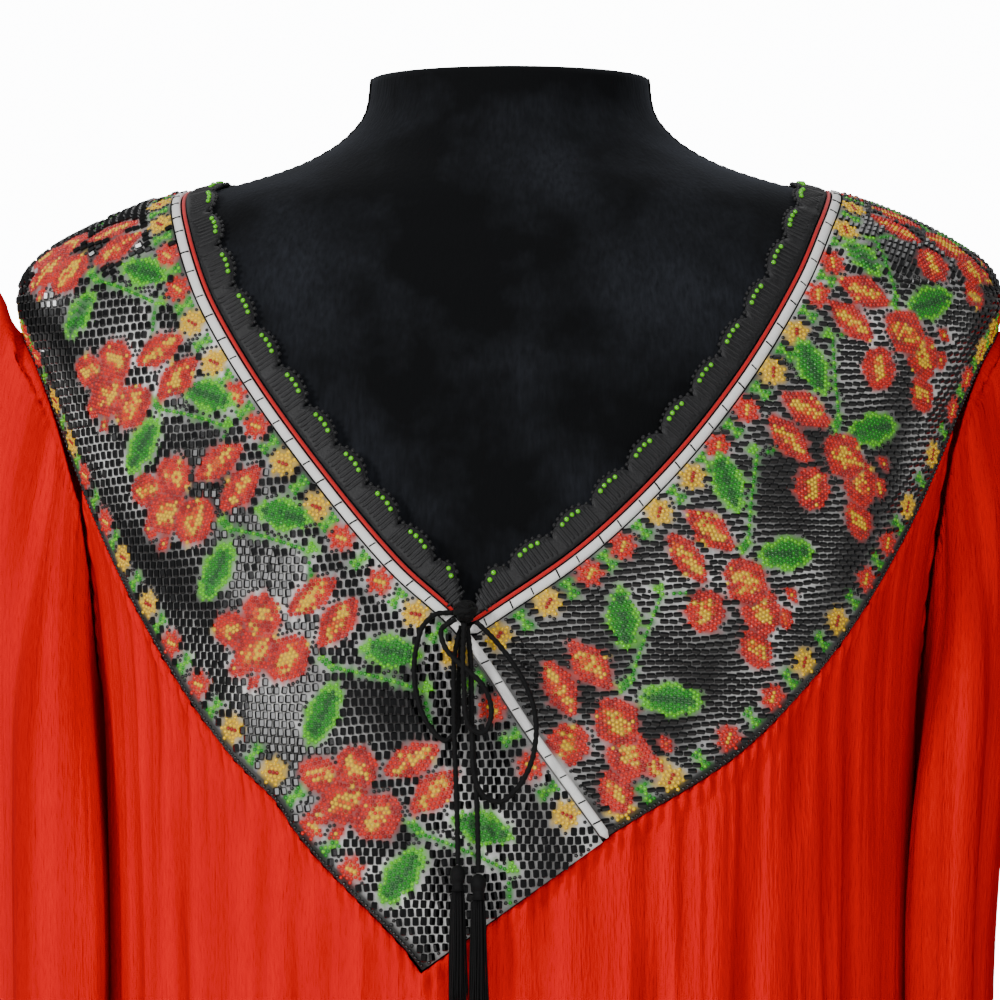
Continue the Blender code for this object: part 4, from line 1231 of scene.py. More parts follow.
@dataclass
class Studio:
    """Camera, floor and soft light."""

    scale: float = 0.385e-3
    distance: float = 1.6
    sensor: float = 36.0
    middle: tuple[float, float] = (-3.85e-3, 0.5687)
    floor_size: float = 6.0
    world_light: float = 0.22
    world_seen: float = 14.0
    looked_at: tuple[float, float, float] = (0.0, 0.0, 0.55)
    lights: tuple = (
        ("key_light", (-1.7, -1.6, 1.5), 0.5, 31.0),
        ("fill_light", (0.3, -2.4, 0.95), 1.0, 22.0),
        ("top_light", (0.1, 0.6, 2.2), 1.2, 9.0),
        ("rim_light", (-1.5, 1.4, 1.3), 1.2, 4.0),
    )

    def build(self) -> None:
        """Makes the camera, the floor, the lights and the world."""
        camera = bpy.data.objects.new("camera", bpy.data.cameras.new("camera"))
        camera.data.sensor_width = self.sensor
        camera.data.lens = self.sensor * self.distance / (1000 * self.scale)
        camera.data.clip_end = 50.0
        camera.location = (self.middle[0] + SHIFT[0], SHIFT[1] - self.distance, self.middle[1])
        camera.rotation_euler = (math.pi / 2, 0.0, 0.0)
        bpy.context.scene.collection.objects.link(camera)
        bpy.context.scene.camera = camera
        self.floor()
        for light in self.lights:
            self.light(*light)
        self.world()

    def world(self) -> None:
        """Hangs a world that gives little light and looks white behind the blouse."""
        world = bpy.data.worlds.new("soft_world")
        world.use_nodes = True
        shader = Shader(world.node_tree)
        seen = shader.add("LightPath").outputs["Is Camera Ray"]
        strength = shader.add("Mix", {0: seen, 2: self.world_light, 3: self.world_seen}, data_type="FLOAT")
        background = world.node_tree.nodes["Background"]
        background.inputs["Color"].default_value = (0.97, 0.98, 1.0, 1.0)
        world.node_tree.links.new(strength.outputs[0], background.inputs["Strength"])
        bpy.context.scene.world = world

    def floor(self) -> None:
        """Lays a plain pale floor."""
        shape = bmesh.new()
        bmesh.ops.create_grid(shape, x_segments=2, y_segments=2, size=self.floor_size / 2)
        mesh = bpy.data.meshes.new("floor")
        shape.to_mesh(mesh)
        shape.free()
        mesh.materials.append(FLOOR.build())
        floor = bpy.data.objects.new("floor", mesh)
        bpy.context.scene.collection.objects.link(floor)
        floor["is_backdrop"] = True

    def light(self, name: str, place: Sequence[float], size: float, power: float) -> None:
        """Hangs a square soft light that looks at the yoke."""
        data = bpy.data.lights.new(name, "AREA")
        data.size = size
        data.energy = power
        lamp = bpy.data.objects.new(name, data)
        lamp.location = place
        lamp.rotation_euler = (Vector(self.looked_at) - lamp.location).to_track_quat("-Z", "Y").to_euler()
        bpy.context.scene.collection.objects.link(lamp)


@dataclass
class Tie:
    """The twisted black tie at the V: knot, loops, tails and tassels."""

    lay_length: float = 5.2 * MM
    strands: int = 2
    groove: float = 0.24
    sides: int = 14
    step: float = 0.55 * MM
    tassel_strands: int = 46
    tassel_head: float = 9 * MM
    tassel_skirt: float = 42 * MM
    tassel_radius: float = 2.7 * MM
    strand_radius: float = 0.34 * MM
    golden_angle: float = 2.39996
    core: float = 0.72
    ring_sides: int = 10
    # Turns of the knot: lean and roll in radians, share of the knot's size, shift sideways
    wraps: tuple = (
        (0.00, 0.10, 0.74, 0.0), (0.75, 0.30, 0.66, 1.1), (-0.85, -0.35, 0.70, -1.0),
        (1.45, 0.0, 0.58, 0.2), (2.3, 0.4, 0.62, -0.4),
    )
    # Outline of a tassel's head: share of its height from the top, share of its radius
    neck: tuple = (
        (0.0, 0.25), (0.06, 0.6), (0.2, 0.92), (0.42, 1.0), (0.58, 0.86), (0.64, 0.66), (0.70, 0.78),
        (0.76, 0.66), (0.82, 0.78), (0.88, 0.68), (1.0, 0.9),
    )

    def build(self) -> None:
        add_piece("tie_knot_wound", self.knot(), BLACK_COTTON, ["tie_knot"])
        tassels = {tail: self.tassel(name, cord_route(tail)[-1]) for name, tail in TASSELS.items()}
        for name in TIE_ROUTES:
            route = cord_route(name)
            line = self.fine(route)
            shape = tube_points(line, np.tile((0.0, -1.0, 0.0), (len(line), 1)), self.twist, self.sides)
            item = add_piece(name + "_cord", join_meshes(name, [shape]), BLACK_COTTON, [name])
            looped = "loop" in name
            float(arc_lengths(line)[-1])
            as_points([tuple(point) for point in line[::4] + SHIFT] + [tuple(line[-1] + SHIFT)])

    def fine(self, route: Array) -> Array:
        """A route with points close enough together for the twist."""
        run = arc_lengths(route)
        return curve_through(run, route, np.linspace(0, run[-1], round(run[-1] / self.step)))

    def twist(self, turn: Array, run: Array) -> Array:
        """Radius of twisted strands, as an oval profile of equal radii."""
        winding = 2 * math.pi * run / self.lay_length
        lobes = abs(np.cos((turn - winding) * self.strands / 2))
        radius = CORD_RADIUS * (1 - self.groove + self.groove * lobes)
        return np.stack([radius, radius])

    def knot(self) -> bpy.types.Mesh:
        """The knot: wraps of the same cord about a tight middle."""
        centre = knot_centre()
        turn = np.linspace(0, 2 * math.pi, 49)[:-1]
        parts = []
        for lean, roll, reach, shift in self.wraps:
            ring = np.stack([np.cos(turn), np.sin(turn), 0 * turn], -1) * reach
            for angle, (a, b) in ((lean, (1, 2)), (roll, (0, 2)), (0.5 * lean, (0, 1))):
                turned = ring.copy()
                turned[:, a] = ring[:, a] * math.cos(angle) - ring[:, b] * math.sin(angle)
                turned[:, b] = ring[:, a] * math.sin(angle) + ring[:, b] * math.cos(angle)
                ring = turned
            line = centre + ring * np.array(KNOT) + np.array([shift * 0.5 * MM, 0.0, shift * 0.6 * MM])
            parts.append(self.ring_tube(line, centre))
        parts.append(self.ball(centre, np.array(KNOT) * self.core))
        return join_meshes("tie_knot_wound", parts)

    def ring_tube(self, line: Array, centre: Array) -> tuple[Array, list]:
        """A closed ring of twisted cord."""
        along = unit(np.roll(line, -1, axis=0) - np.roll(line, 1, axis=0))
        up = unit(line - centre)
        up = unit(up - (up * along).sum(-1, keepdims=True) * along)
        side = np.cross(along, up)
        turn = np.linspace(0, 2 * math.pi, self.ring_sides, endpoint=False)
        winding = 8 * math.pi * np.arange(len(line))[:, None] / len(line)
        radius = CORD_RADIUS * (0.8 + 0.24 * abs(np.cos(turn - winding)))[..., None]
        rings = line[:, None] + radius * (
            side[:, None] * np.cos(turn)[..., None] + up[:, None] * np.sin(turn)[..., None]
        )
        faces = []
        for i in range(len(line)):
            here, there = i * self.ring_sides, (i + 1) % len(line) * self.ring_sides
            for k in range(self.ring_sides):
                m = (k + 1) % self.ring_sides
                faces.append((here + k, here + m, there + m, there + k))
        return rings.reshape(-1, 3), faces

    def ball(self, centre: Array, radii: Array) -> tuple[Array, list]:
        """An oval ball."""
        shape = bmesh.new()
        bmesh.ops.create_uvsphere(shape, u_segments=16, v_segments=10, radius=1.0)
        shape.verts.index_update()
        points = np.array([vert.co[:] for vert in shape.verts]) * radii + centre
        faces = [tuple(vert.index for vert in face.verts) for face in shape.faces]
        shape.free()
        return points, faces

    def tassel(self, name: str, end: Array) -> bpy.types.Object:
        """A bound head with a skirt of loose strands."""
        top = end[2] - 0.4 * MM
        line = np.array([(end[0], end[1], top - share * self.tassel_head) for share, _ in self.neck])
        girths = np.array([girth for _, girth in self.neck])[:, None] * self.tassel_radius

        def head(turn: Array, run: Array) -> Array:
            """Radii of the bound head, ribbed by its strands."""
            radius = girths * (1 + 0.05 * np.cos(11 * turn))
            return np.stack([radius, radius])

        parts = [tube_points(line, np.tile((0.0, -1.0, 0.0), (len(line), 1)), head, 22)]
        chance = np.random.default_rng(11)
        start = top - 0.94 * self.tassel_head
        for k in range(self.tassel_strands):
            angle = self.golden_angle * k
            reach = math.sqrt((k + 0.5) / self.tassel_strands)
            drop = np.linspace(0, 1, 9)
            spread = self.tassel_radius * reach * (0.8 + 0.55 * drop ** 0.7)
            wave = 0.25 * MM * np.sin(5 * drop + 6.28 * chance.random()) * drop
            fall = self.tassel_skirt * (0.95 + 0.06 * chance.random())
            strand = np.stack([
                end[0] + spread * math.cos(angle) + wave, end[1] + spread * math.sin(angle) + wave * 0.6,
                start - fall * drop,
            ], -1)
            parts.append(tube_points(strand, np.tile((0.0, -1.0, 0.0), (9, 1)),
                                     round_profile(self.strand_radius, self.strand_radius), 5))
        return add_piece(name + "_yarn", join_meshes(name, parts), BLACK_COTTON, [name])


@dataclass
class Gauze:
    """The gathered red gauze: front, back and two sleeves, thin shells on their solids' form."""

    thickness: float = 0.7 * MM
    pucker_pitch: float = 4.6 * MM
    pucker_height: float = 1.0 * MM
    crinkle_pitch: float = 7.5 * MM
    crinkle_height: float = 0.35 * MM
    front_cut: tuple[float, float] = (0.53, 0.56)
    back_cut: tuple[float, float] = (0.46, 0.60)
    sleeve_cut: tuple[float, float] = (0.32, 0.42)
    trough_depth: float = 1.1 * MM
    trough_shade: float = 0.24
    side_gap: float = 1.6 * MM
    edge_share: float = 0.0004
    front_grid: tuple[int, int] = (460, 52)
    back_grid: tuple[int, int] = (236, 38)
    sleeve_grid: tuple[int, int] = (164, 42)

    def build(self, yoke: Yoke) -> None:
        for name, side, (columns, rows), cut in (
            ("front_panel", FRONT, self.front_grid, self.front_cut),
            ("back_panel", BACK, self.back_grid, self.back_cut),
        ):
            grid, tints = self.panel(yoke, side, columns, self.spaced(rows))
            thickness = self.thickness if side < 0 else -self.thickness
            mesh = shell_mesh(name, grid, thickness, False, tints)
            item = add_piece(name + "_gauze", mesh, GAUZE, [name])
            self.tell(mesh, item.name, grid)
        columns, rows = self.sleeve_grid
        for name, hand in (("sleeve_left", -1), ("sleeve_right", 1)):
            grid, tints = self.sleeve(yoke, hand, columns, self.spaced(rows))
            mesh = shell_mesh(name, grid, -hand * self.thickness, True, tints)
            item = add_piece(name + "_gauze", mesh, GAUZE, [name])
            self.tell(mesh, item.name, np.concatenate([grid, grid[:, :1]], axis=1))

    def tell(self, mesh: bpy.types.Mesh, name: str, grid: Array) -> None:
        """Reports a piece's triangles and the area of its cloth."""
        LOG.info("%s: %d triangles, %.3f square metres", name, 2 * len(mesh.polygons), spread(grid))

    def spaced(self, count: int) -> Array:
        """Shares of the drop, close together at the seam."""
        even = np.linspace(0, 1, count)
        return 0.25 * even + 0.75 * even ** 2.1

    def small_waves(self, run: Array, below: Array, seed: float) -> Array:
        """Puckers at the seam, and crinkles that fade and return on the way down.

        Args:
            run: length across the cloth.
            below: length below the seam.
            seed: shifts the waves.

        Returns:
            How far the cloth stands out.
        """
        wander = 0.8 * np.sin(run / (31 * MM) + seed) + 0.5 * np.sin(run / (13 * MM) + 2 * seed)
        pucker = np.sin(2 * math.pi * run / self.pucker_pitch + 1.3 * wander)
        at_seam = self.pucker_height * np.exp(-((below - 2 * MM) / (5.5 * MM)) ** 2)
        drift = 1.1 * np.sin(below / (41 * MM) + run / (57 * MM) + seed)
        crinkle = np.sin(2 * math.pi * run / self.crinkle_pitch + wander * 2 + drift)
        finer = 2 * math.pi * run / (self.crinkle_pitch * 0.61) - wander + drift * 1.7
        crinkle = crinkle + 0.7 * np.sin(finer)
        fade = 0.55 + 0.45 * np.sin(below / (23 * MM) + run / (17 * MM) + 3 * seed)
        grown = smooth_step(below / (12 * MM))
        return at_seam * pucker + self.crinkle_height * crinkle * fade * grown

    def trough_tints(self, amount: Array, closed: bool, reach: int) -> Array:
        """Grey tints that darken the troughs between waves, where the red cloth shades itself.

        Args:
            amount: how far each point of the cloth stands out.
            closed: whether the columns close into a tube.
            reach: columns to each side over which the mean height is taken.

        Returns:
            A tint for each point.
        """
        wide = np.pad(amount, ((0, 0), (reach, reach)), mode="wrap" if closed else "edge")
        mean = np.lib.stride_tricks.sliding_window_view(wide, 2 * reach + 1, axis=1).mean(axis=-1)
        height = np.clip((amount - mean) / self.trough_depth, -1.0, 0.5)
        return np.repeat((1 + self.trough_shade * height).reshape(-1, 1), 3, axis=1)

    def heading_folds(self, run: Array, below: Array) -> Array:
        """Middling folds that start at the seam, uneven in place, depth and length."""
        depth = np.zeros(np.broadcast(run, below).shape)
        chance = np.random.default_rng(31)
        place = 6 * MM
        while place < float(run.max()):
            deep, reach = chance.uniform(0.4, 1.9) * MM, chance.choice((14, 22, 30, 42, 60, 120)) * MM
            spread = chance.uniform(2.0, 3.6) * MM
            centre = place + below * chance.uniform(-0.05, 0.05)
            fade = np.interp(below / reach, (0, 0.12, 0.5, 1.0), (0.15, 1.0, 0.7, 0.0))
            depth -= deep * fade * np.exp(-(((run - centre) / (spread * (1 + 2 * below / reach))) ** 2))
            place += chance.uniform(5, 13) * MM
        return depth

    def panel(self, yoke: Yoke, side: int, columns: int, rows: Array) -> tuple[Array, Array]:
        """A body panel's outer face, from the yoke and the armholes to the hem, and its tints of painted
        shade in the troughs.
        """
        table, count = (FRONT_FOLDS, FRONT_GATHERS) if side < 0 else (BACK_FOLDS, BACK_GATHERS)
        base = np.linspace(0, 1, 400)
        ring = round_the_half(base, 0.42, side)
        run = arc_lengths(ring)
        at = np.interp(np.linspace(0, run[-1], columns + 1), run, base)
        shares = self.edge_share + at * (1 - 2 * self.edge_share)
        tops = panel_top(yoke, side, shares)
        drop = rows[:, None]
        heights = tops - (tops - HEM_HEIGHT) * drop
        covered = smooth_step((np.minimum(shares, 1 - shares) - 0.10) / 0.10)
        below_cuff = 0.7 * smooth_step((CUFF_HEIGHT - 10 * MM - heights) / (110 * MM))
        covered = np.maximum(covered, below_cuff)
        uneven = 0.55 + 0.45 * np.sin(9.0 * shares + 0.8) * np.sin(31.0 * shares + 2.0)
        amount = 0.6 * uneven * gathers(shares[None], drop, count, 1.3 if side < 0 else 2.1)
        amount = amount * (0.35 + 0.65 * covered)
        amount = amount + folds(shares[None], drop, table) * covered
        flare = np.sin(2 * math.pi * (9 * shares[None] + 0.15)) * 4.5 * MM * smooth_step((drop - 0.3) / 0.7)
        heading = 0.9 * MM * np.exp(-(((drop - 0.008) / 0.006) ** 2))
        across = np.interp(at, base, run)[None]
        amount = amount + self.heading_folds(across, tops - heights) * (0.4 + 0.6 * covered)
        waves = self.small_waves(across, tops - heights, 0.4 if side < 0 else 1.9)
        amount = amount + flare * covered + heading + waves * (0.4 + 0.6 * covered)
        grid = round_the_half(shares[None], heights, side, PANEL_LIFT - 0.3 * MM)
        shaped = displace(grid, amount if side < 0 else -amount, closed=False)
        return shaped, self.trough_tints(amount, False, 8)

    def sleeve(self, yoke: Yoke, hand: int, columns: int, rows: Array) -> tuple[Array, Array]:
        """A sleeve's outer face, from the armhole to the cuff, and its tints of painted shade in the troughs.
        """
        ring = armhole_ring(yoke, hand, columns)
        around = np.arange(columns) / columns
        top = np.exp(-(((around - 0.49) / 0.10) ** 2))
        head = np.array(SLEEVE_HEAD)
        grid = []
        for drop in rows:
            heights = ring[:, 2] + (CUFF_HEIGHT - ring[:, 2]) * drop
            taken = smooth_step(drop / 0.34)
            flat = ring[:, :2] * (1 - taken) + tube_ring(hand, heights, columns, self.side_gap) * taken
            out, up = (curve_through(head[:, 0], head[:, k], drop) * MM * top for k in (1, 2))
            grid.append(np.stack([flat[:, 0] + hand * out, flat[:, 1], heights + up], -1))
        grid = np.array(grid)
        drop = rows[:, None]
        outer = smooth_step((0.5 - abs(around - 0.5) - 0.10) / 0.12)[None]
        amount = 0.9 * gathers(around[None], drop, SLEEVE_GATHERS, 0.7)
        amount = (amount + folds(around[None], drop, SLEEVE_FOLDS)) * outer
        fall = np.linalg.norm(np.diff(grid, axis=0), axis=-1)
        below = np.concatenate([np.zeros((1, columns)), np.cumsum(fall, axis=0)])
        girth = np.linalg.norm(np.diff(grid[len(grid) // 2], axis=0), axis=-1).sum()
        run = around[None] * round(girth / self.crinkle_pitch) * self.crinkle_pitch
        amount = amount + self.small_waves(run, below, 2.7 + hand) * (0.4 + 0.6 * outer)
        amount = amount * smooth_step(drop / 0.02)
        return displace(grid, amount * -hand, closed=True), self.trough_tints(amount, True, 6)


class Spacing:
    """Remembers where beads lie, so that none is set into another."""

    CELL = 3.0 * MM

    def __init__(self) -> None:
        """Starts empty."""
        self.cells: dict[tuple[int, int, int], list] = {}

    def key(self, point: Array) -> tuple[int, int, int]:
        """The cell of a point."""
        return tuple(int(value) for value in np.floor(np.asarray(point) / self.CELL))

    def free(self, point: Array, radius: float) -> bool:
        """Whether a bead of a radius has room at a point."""
        a, b, c = self.key(point)
        x, y, z = point
        for i in (a - 1, a, a + 1):
            for j in (b - 1, b, b + 1):
                for k in (c - 1, c, c + 1):
                    for u, v, w, other in self.cells.get((i, j, k), ()):
                        if (x - u) ** 2 + (y - v) ** 2 + (z - w) ** 2 < (radius + other) ** 2:
                            return False
        return True

    def add(self, point: Array, radius: float) -> None:
        """Remembers a bead."""
        self.cells.setdefault(self.key(point), []).append((*map(float, point), radius))


@dataclass
class BandMap:
    """Reads places (s, t) back from points near one strip of the yoke."""

    yoke: Yoke
    start: float
    stop: float
    pitch: float = 1.5 * MM

    def __post_init__(self) -> None:
        """Fills a search tree with the strip's points."""
        self.along = np.arange(self.start, self.stop + self.pitch, self.pitch)
        self.across = np.arange(-6 * MM, 96 * MM, self.pitch)
        s, t = np.meshgrid(self.along, self.across, indexing="ij")
        self.places = np.stack([s.ravel(), t.ravel()], -1)
        self.points = self.yoke.point(s.ravel(), t.ravel())
        self.tree = KDTree(len(self.points))
        for index, point in enumerate(self.points):
            self.tree.insert(point, index)
        self.tree.balance()

    def read(self, points: Array) -> Array:
        """Rows of s, t and the distance to the nearest point of the strip."""
        found = [self.tree.find(point)[1:] for point in points]
        rows = np.array([index for index, _ in found])
        away = np.array([distance for _, distance in found])
        s, t = self.places[rows].T
        here = self.points[rows]
        to_s = self.yoke.point(s + 0.5 * MM, t) - self.yoke.point(s - 0.5 * MM, t)
        to_t = self.yoke.point(s, t + 0.5 * MM) - self.yoke.point(s, t - 0.5 * MM)
        off = points - here
        s = s + (off * to_s).sum(-1) / (to_s ** 2).sum(-1) * MM
        t = t + (off * to_t).sum(-1) / (to_t ** 2).sum(-1) * MM
        return np.stack([s, t, away], -1)


@dataclass(frozen=True)
class Shape:
    """A petal or leaf filled with close rows of beads: place, length, width, lean and pointedness.

    Sizes are in mm, the lean is in degrees from outwards towards +s.
    """

    u: float
    v: float
    length: float
    width: float
    lean: float
    pointed: float = 0.15

    def fill(self, pitch: float) -> tuple[Array, Array]:
        """Bead places in close rows.

        Args:
            pitch: distance between beads, in mm.

        Returns:
            The places, and where each lies along and across the shape, from -1 to 1.
        """
        half = math.ceil(self.length / pitch)
        rows, columns = np.mgrid[-half:half + 1, -half:half + 1]
        across = (columns + 0.5 * (rows % 2)) * pitch
        along = rows * pitch * 0.88
        local = np.stack([along.ravel() / (self.length / 2), across.ravel() / (self.width / 2)], -1)
        narrowed = np.clip(1 - local[:, 0] ** 2, 0, 1) ** (0.5 + self.pointed)
        local = local[(abs(local[:, 0]) < 0.99) & (abs(local[:, 1]) < narrowed)]
        turn = math.radians(self.lean)
        way = np.array([math.sin(turn), math.cos(turn)])
        side = np.array([way[1], -way[0]])
        spots = np.outer(local[:, 0] * self.length / 2, way) + np.outer(local[:, 1] * self.width / 2, side)
        return spots + (self.u, self.v), local


RED_ORANGE, RED, ORANGE = linear((228, 26, 0)), linear((176, 0, 0)), linear((240, 96, 0))
YELLOW, LIME, GREEN, EMERALD = (
    linear((255, 206, 0)), linear((104, 214, 8)), linear((16, 150, 8)), linear((0, 98, 18)),
)
BLACK = linear((4, 4, 5))


@dataclass
class BeadedBand:
    """One strip of the yoke: its ground cloth and all its beads."""

    name: str
    yoke: Yoke
    band: BandMap
    covering: BandMap | None
    hand: int
    pitch: float = 1.65 * MM
    small_radius: float = 0.84 * MM
    ground_lift: float = 1.5 * MM
    margin: float = 0.5 * MM
    split_height: float = 0.650
    rise: float = 0.035
    black_pitch: tuple[float, float] = (2.9 * MM, 3.1 * MM)
    black_size: tuple[float, float] = (1.24 * MM, 2.85 * MM)
    upright: bool = True

    def __post_init__(self) -> None:
        """Starts with no beads."""
        self.spacing = Spacing()
        self.small = Places()
        self.black = Places()
        self.chance = np.random.default_rng(5 + (self.hand > 0))

    def lift(self, s: Array, t: Array) -> Array:
        """Extra lift where the left strip laps."""
        return self.yoke.lift(s, t) if self.hand < 0 else 0.0 * s

    def inside(self, places: Array, points: Array, margin: float) -> Array:
        """Whether beads at points lie on the strip and in sight."""
        s, t, away = places.T
        first = WHITE_EDGE_WIDTH + 0.5 * MM + margin
        good = (away < 2.0 * MM) & (t > first) & (t < self.yoke.width(s) - margin)
        good &= (s > self.band.start + margin) & (s < self.band.stop)
        if self.covering is not None:
            hidden = self.covering.read(points)
            under = (hidden[:, 2] < 2.0 * MM) & (hidden[:, 1] > -1.2 * MM)
            under &= (hidden[:, 1] < self.yoke.width(hidden[:, 0]) + 1.0 * MM) & (hidden[:, 0] > -1 * MM)
            good &= ~under
        return good

    def axes_at(self, s: float, t: float) -> tuple[Array, Array, Array]:
        """The point at a place and unit directions along the neckline and outwards there."""
        here = self.yoke.point(s, t)
        along = unit(self.yoke.point(s + MM, t) - self.yoke.point(s - MM, t))
        out = self.yoke.point(s, t + MM) - self.yoke.point(s, t - MM)
        out = unit(out - (out @ along) * along)
        return here, along, out

    def set_beads(self, s: float, t: float, spots: Array, tints: Sequence[Sequence[float]]) -> None:
        """Sews small beads at spots (u, v), in mm, about a place of the yoke."""
        here, along, out = self.axes_at(s, t)
        points = here + np.outer(spots[:, 0] * MM, along) + np.outer(spots[:, 1] * MM, out)
        points, normals = settle(points, rounds=3)
        self.sew(points, normals, 0.41 * self.pitch, 0.65, along, tints)

    def height(self, place: Array, rise: float) -> float:
        """How high a bead's centre lies above the worn surface, rise above the ground cloth."""
        return self.ground_lift + rise + float(self.lift(place[0], place[1]))

    def sew(self, points: Array, normals: Array, radius: float, rise: float, face: Array,
            tints: Sequence[Sequence[float]]) -> None:
        """Sews small beads at those points that lie on the strip, in sight and free.

        Args:
            points: places on the worn surface.
            normals: its normals there.
            radius: room that a bead needs.
            rise: height above the ground cloth, as a share of a bead's radius.
            face: the direction that a bead's X is turned to.
            tints: a colour for each.
        """
        places = self.band.read(points)
        good = self.inside(places, points, self.margin)
        for point, normal, place, fine, tint in zip(points, normals, places, good, tints):
            if fine and self.spacing.free(point, radius):
                self.spacing.add(point, radius)
                lift = self.height(place, self.small_radius * rise)
                self.small.add(point + normal * lift, normal, face, tint)

    def ground(self) -> bpy.types.Object:
        """Makes the ground cloth and paints it by the beads above it: mottled thread in the open, painted
        shade in the beads' colours under coloured beads, darker along the outer edge.
        """
        first = WHITE_EDGE_WIDTH + 0.5 * MM
        stations = np.linspace(self.band.start, self.band.stop, 230)
        share = np.linspace(0, 1, 40)
        s = np.repeat(stations[:, None], len(share), axis=1)
        t = first + share * (self.yoke.width(s) - first)
        grid = self.yoke.point(s, t, self.ground_lift + self.lift(s, t))
        coloured = [index for index, tint in enumerate(self.small.tints) if tint is not BLACK]
        tree = KDTree(len(coloured))
        for index in coloured:
            tree.insert(self.small.points[index], index)
        tree.balance()
        white, dark = np.array(linear((250, 249, 247))), np.array(linear((60, 58, 60)))
        tints = np.empty((grid.shape[0] * grid.shape[1], 3))
        mottle = 0.5 + 0.5 * np.sin(s / (17 * MM) + 3 * np.sin(t / (23 * MM))) * np.cos(t / (11 * MM))
        # Darker along the outer 2.6 mm of the strip.
        rims = np.where(t > self.yoke.width(s) - 2.6 * MM, 0.12, 1.0)
        for index, (point, patch, rim) in enumerate(zip(grid.reshape(-1, 3), mottle.ravel(), rims.ravel())):
            _, found, distance = tree.find(point)
            plain = white * (0.05 + 0.9 * patch ** 1.6) + dark * 0.4 * (1 - patch)
            # Painted shade under coloured beads: the ground takes a darker copy of the nearest coloured
            # bead's colour, with a little white thread.
            near = np.clip((1.8 * MM - distance) / (0.5 * MM), 0, 1)
            flower = 0.55 * np.array(self.small.tints[found]) + 0.08 * white
            tints[index] = (plain * (1 - near) + flower * near) * rim
        mesh = shell_mesh(self.name, grid, -0.6 * MM, False, tints)
        return add_piece(self.name + "_ground", mesh, GROUND, [self.name])

    def lattice(self) -> None:
        """Fills the rest with black cut beads: level rows in front, rows along the yoke elsewhere."""
        radius = 0.42 * min(self.black_pitch)
        for points, axes, normals, level in self.front_rows() + self.yoke_rows():
            places = self.band.read(points)
            good = self.inside(places, points, 0.8 * MM)
            frontal = (points[:, 1] < 0) & (abs(normals[:, 2]) < 0.75) & (points[:, 2] < self.split_height)
            good &= frontal == level
            for point, axis, normal, place, fine in zip(points, axes, normals, places, good):
                if fine and self.spacing.free(point, radius):
                    self.spacing.add(point, radius)
                    sway = np.cross(normal, axis)
                    point = point + sway * self.chance.normal() * 0.10 * MM
                    axis = axis + sway * self.chance.normal() * 0.09
                    lift = self.height(place, self.black_size[0] * 0.55)
                    tone = 0.6 + 0.9 * self.chance.random()
                    self.black.add(point + normal * lift, axis, normal, [tone * value for value in BLACK])

    def edge_row(self) -> None:
        """Sets a row of small dark beads along the outer edge."""
        stations = np.arange(self.band.start, self.band.stop, self.pitch)
        places = self.yoke.point(stations, self.yoke.width(stations) - 0.8 * MM)
        self.set_small(places, 0.42)

    def set_small(self, places: Array, share: float) -> None:
        """Sets small dark beads near places, with room for a share of the pitch about each."""
        points, normals = settle(places, rounds=1)
        self.sew(points, normals, share * self.pitch, 0.8, [1.0, 0.0, 0.0], [BLACK] * len(points))

    def filler(self) -> None:
        """Sets small dark beads in the gaps that the cut beads leave."""
        pitch = 1.55 * MM
        stations = np.arange(self.band.start, self.band.stop, pitch)
        for number, t in enumerate(np.arange(5.0 * MM, 92 * MM, pitch)):
            places = self.yoke.point(stations + 0.5 * pitch * (number % 2), np.full(len(stations), t))
            self.set_small(places, 0.48)

    def front_rows(self) -> list[tuple[Array, Array, Array, bool]]:
        """Rows that stand level in front, rising a little to the right."""
        rows = []
        height, number = 0.374, 0
        span = np.linspace(0.02, 0.68, 700) if self.hand < 0 else np.linspace(0.36, 0.98, 700)
        middle = self.yoke.point(self.band.along, 45 * MM)
        middle = middle[middle[:, 1] < 0]
        while height < self.split_height + 0.03:
            line = round_the_half(span, height, FRONT)
            wave = 0.7 * MM * np.sin(line[:, 0] / (8.5 * MM) + 0.35 * number)
            line = round_the_half(span, height + self.rise * line[:, 0] + wave, FRONT)
            steps = np.diff(line, axis=0)
            length = np.linalg.norm(steps, axis=1)
            run = np.r_[0, np.cumsum(length / np.clip(0.6 + 0.4 * length / abs(steps[:, 0]), 1.0, 1.35))]
            zero = np.interp(0.5, span, run)
            first = math.ceil((run[0] - zero) / self.black_pitch[0]) + 1
            last = math.floor((run[-1] - zero) / self.black_pitch[0]) - 1
            at = zero + (np.arange(first, last) + 0.5 * (number % 2)) * self.black_pitch[0]
            points, normals = settle(read_line(line, run, at), rounds=2)
            level = unit(np.cross(normals, np.cross(np.array([1.0, 0.0, self.rise]), normals)))
            up = np.cross(level, normals) * -1
            rows.append((points, up if self.upright else level, normals, True))
            nearest = middle[np.argmin(abs(middle[:, 2] - height))]
            slope = settle(nearest[None])[1][0]
            height += self.black_pitch[1] * max(0.45, math.hypot(slope[0], slope[1]))
            number += 1
        return rows

    def yoke_rows(self) -> list[tuple[Array, Array, Array, bool]]:
        """Rows that follow the neckline over the shoulders and behind."""
        rows = []
        stations = np.linspace(self.band.start, self.band.stop, 700)
        for number, t in enumerate(np.arange(5.4 * MM, 92 * MM, self.black_pitch[1])):
            line = self.yoke.point(stations, np.full(len(stations), t))
            run = arc_lengths(line)
            count = math.floor(run[-1] / self.black_pitch[0])
            at = (np.arange(0, count) + 0.5 * (number % 2)) * self.black_pitch[0]
            points, normals = settle(read_line(line, run, at), rounds=2)
            along = unit(np.gradient(points, axis=0))
            rows.append((points, np.cross(normals, along) if self.upright else along, normals, False))
        return rows

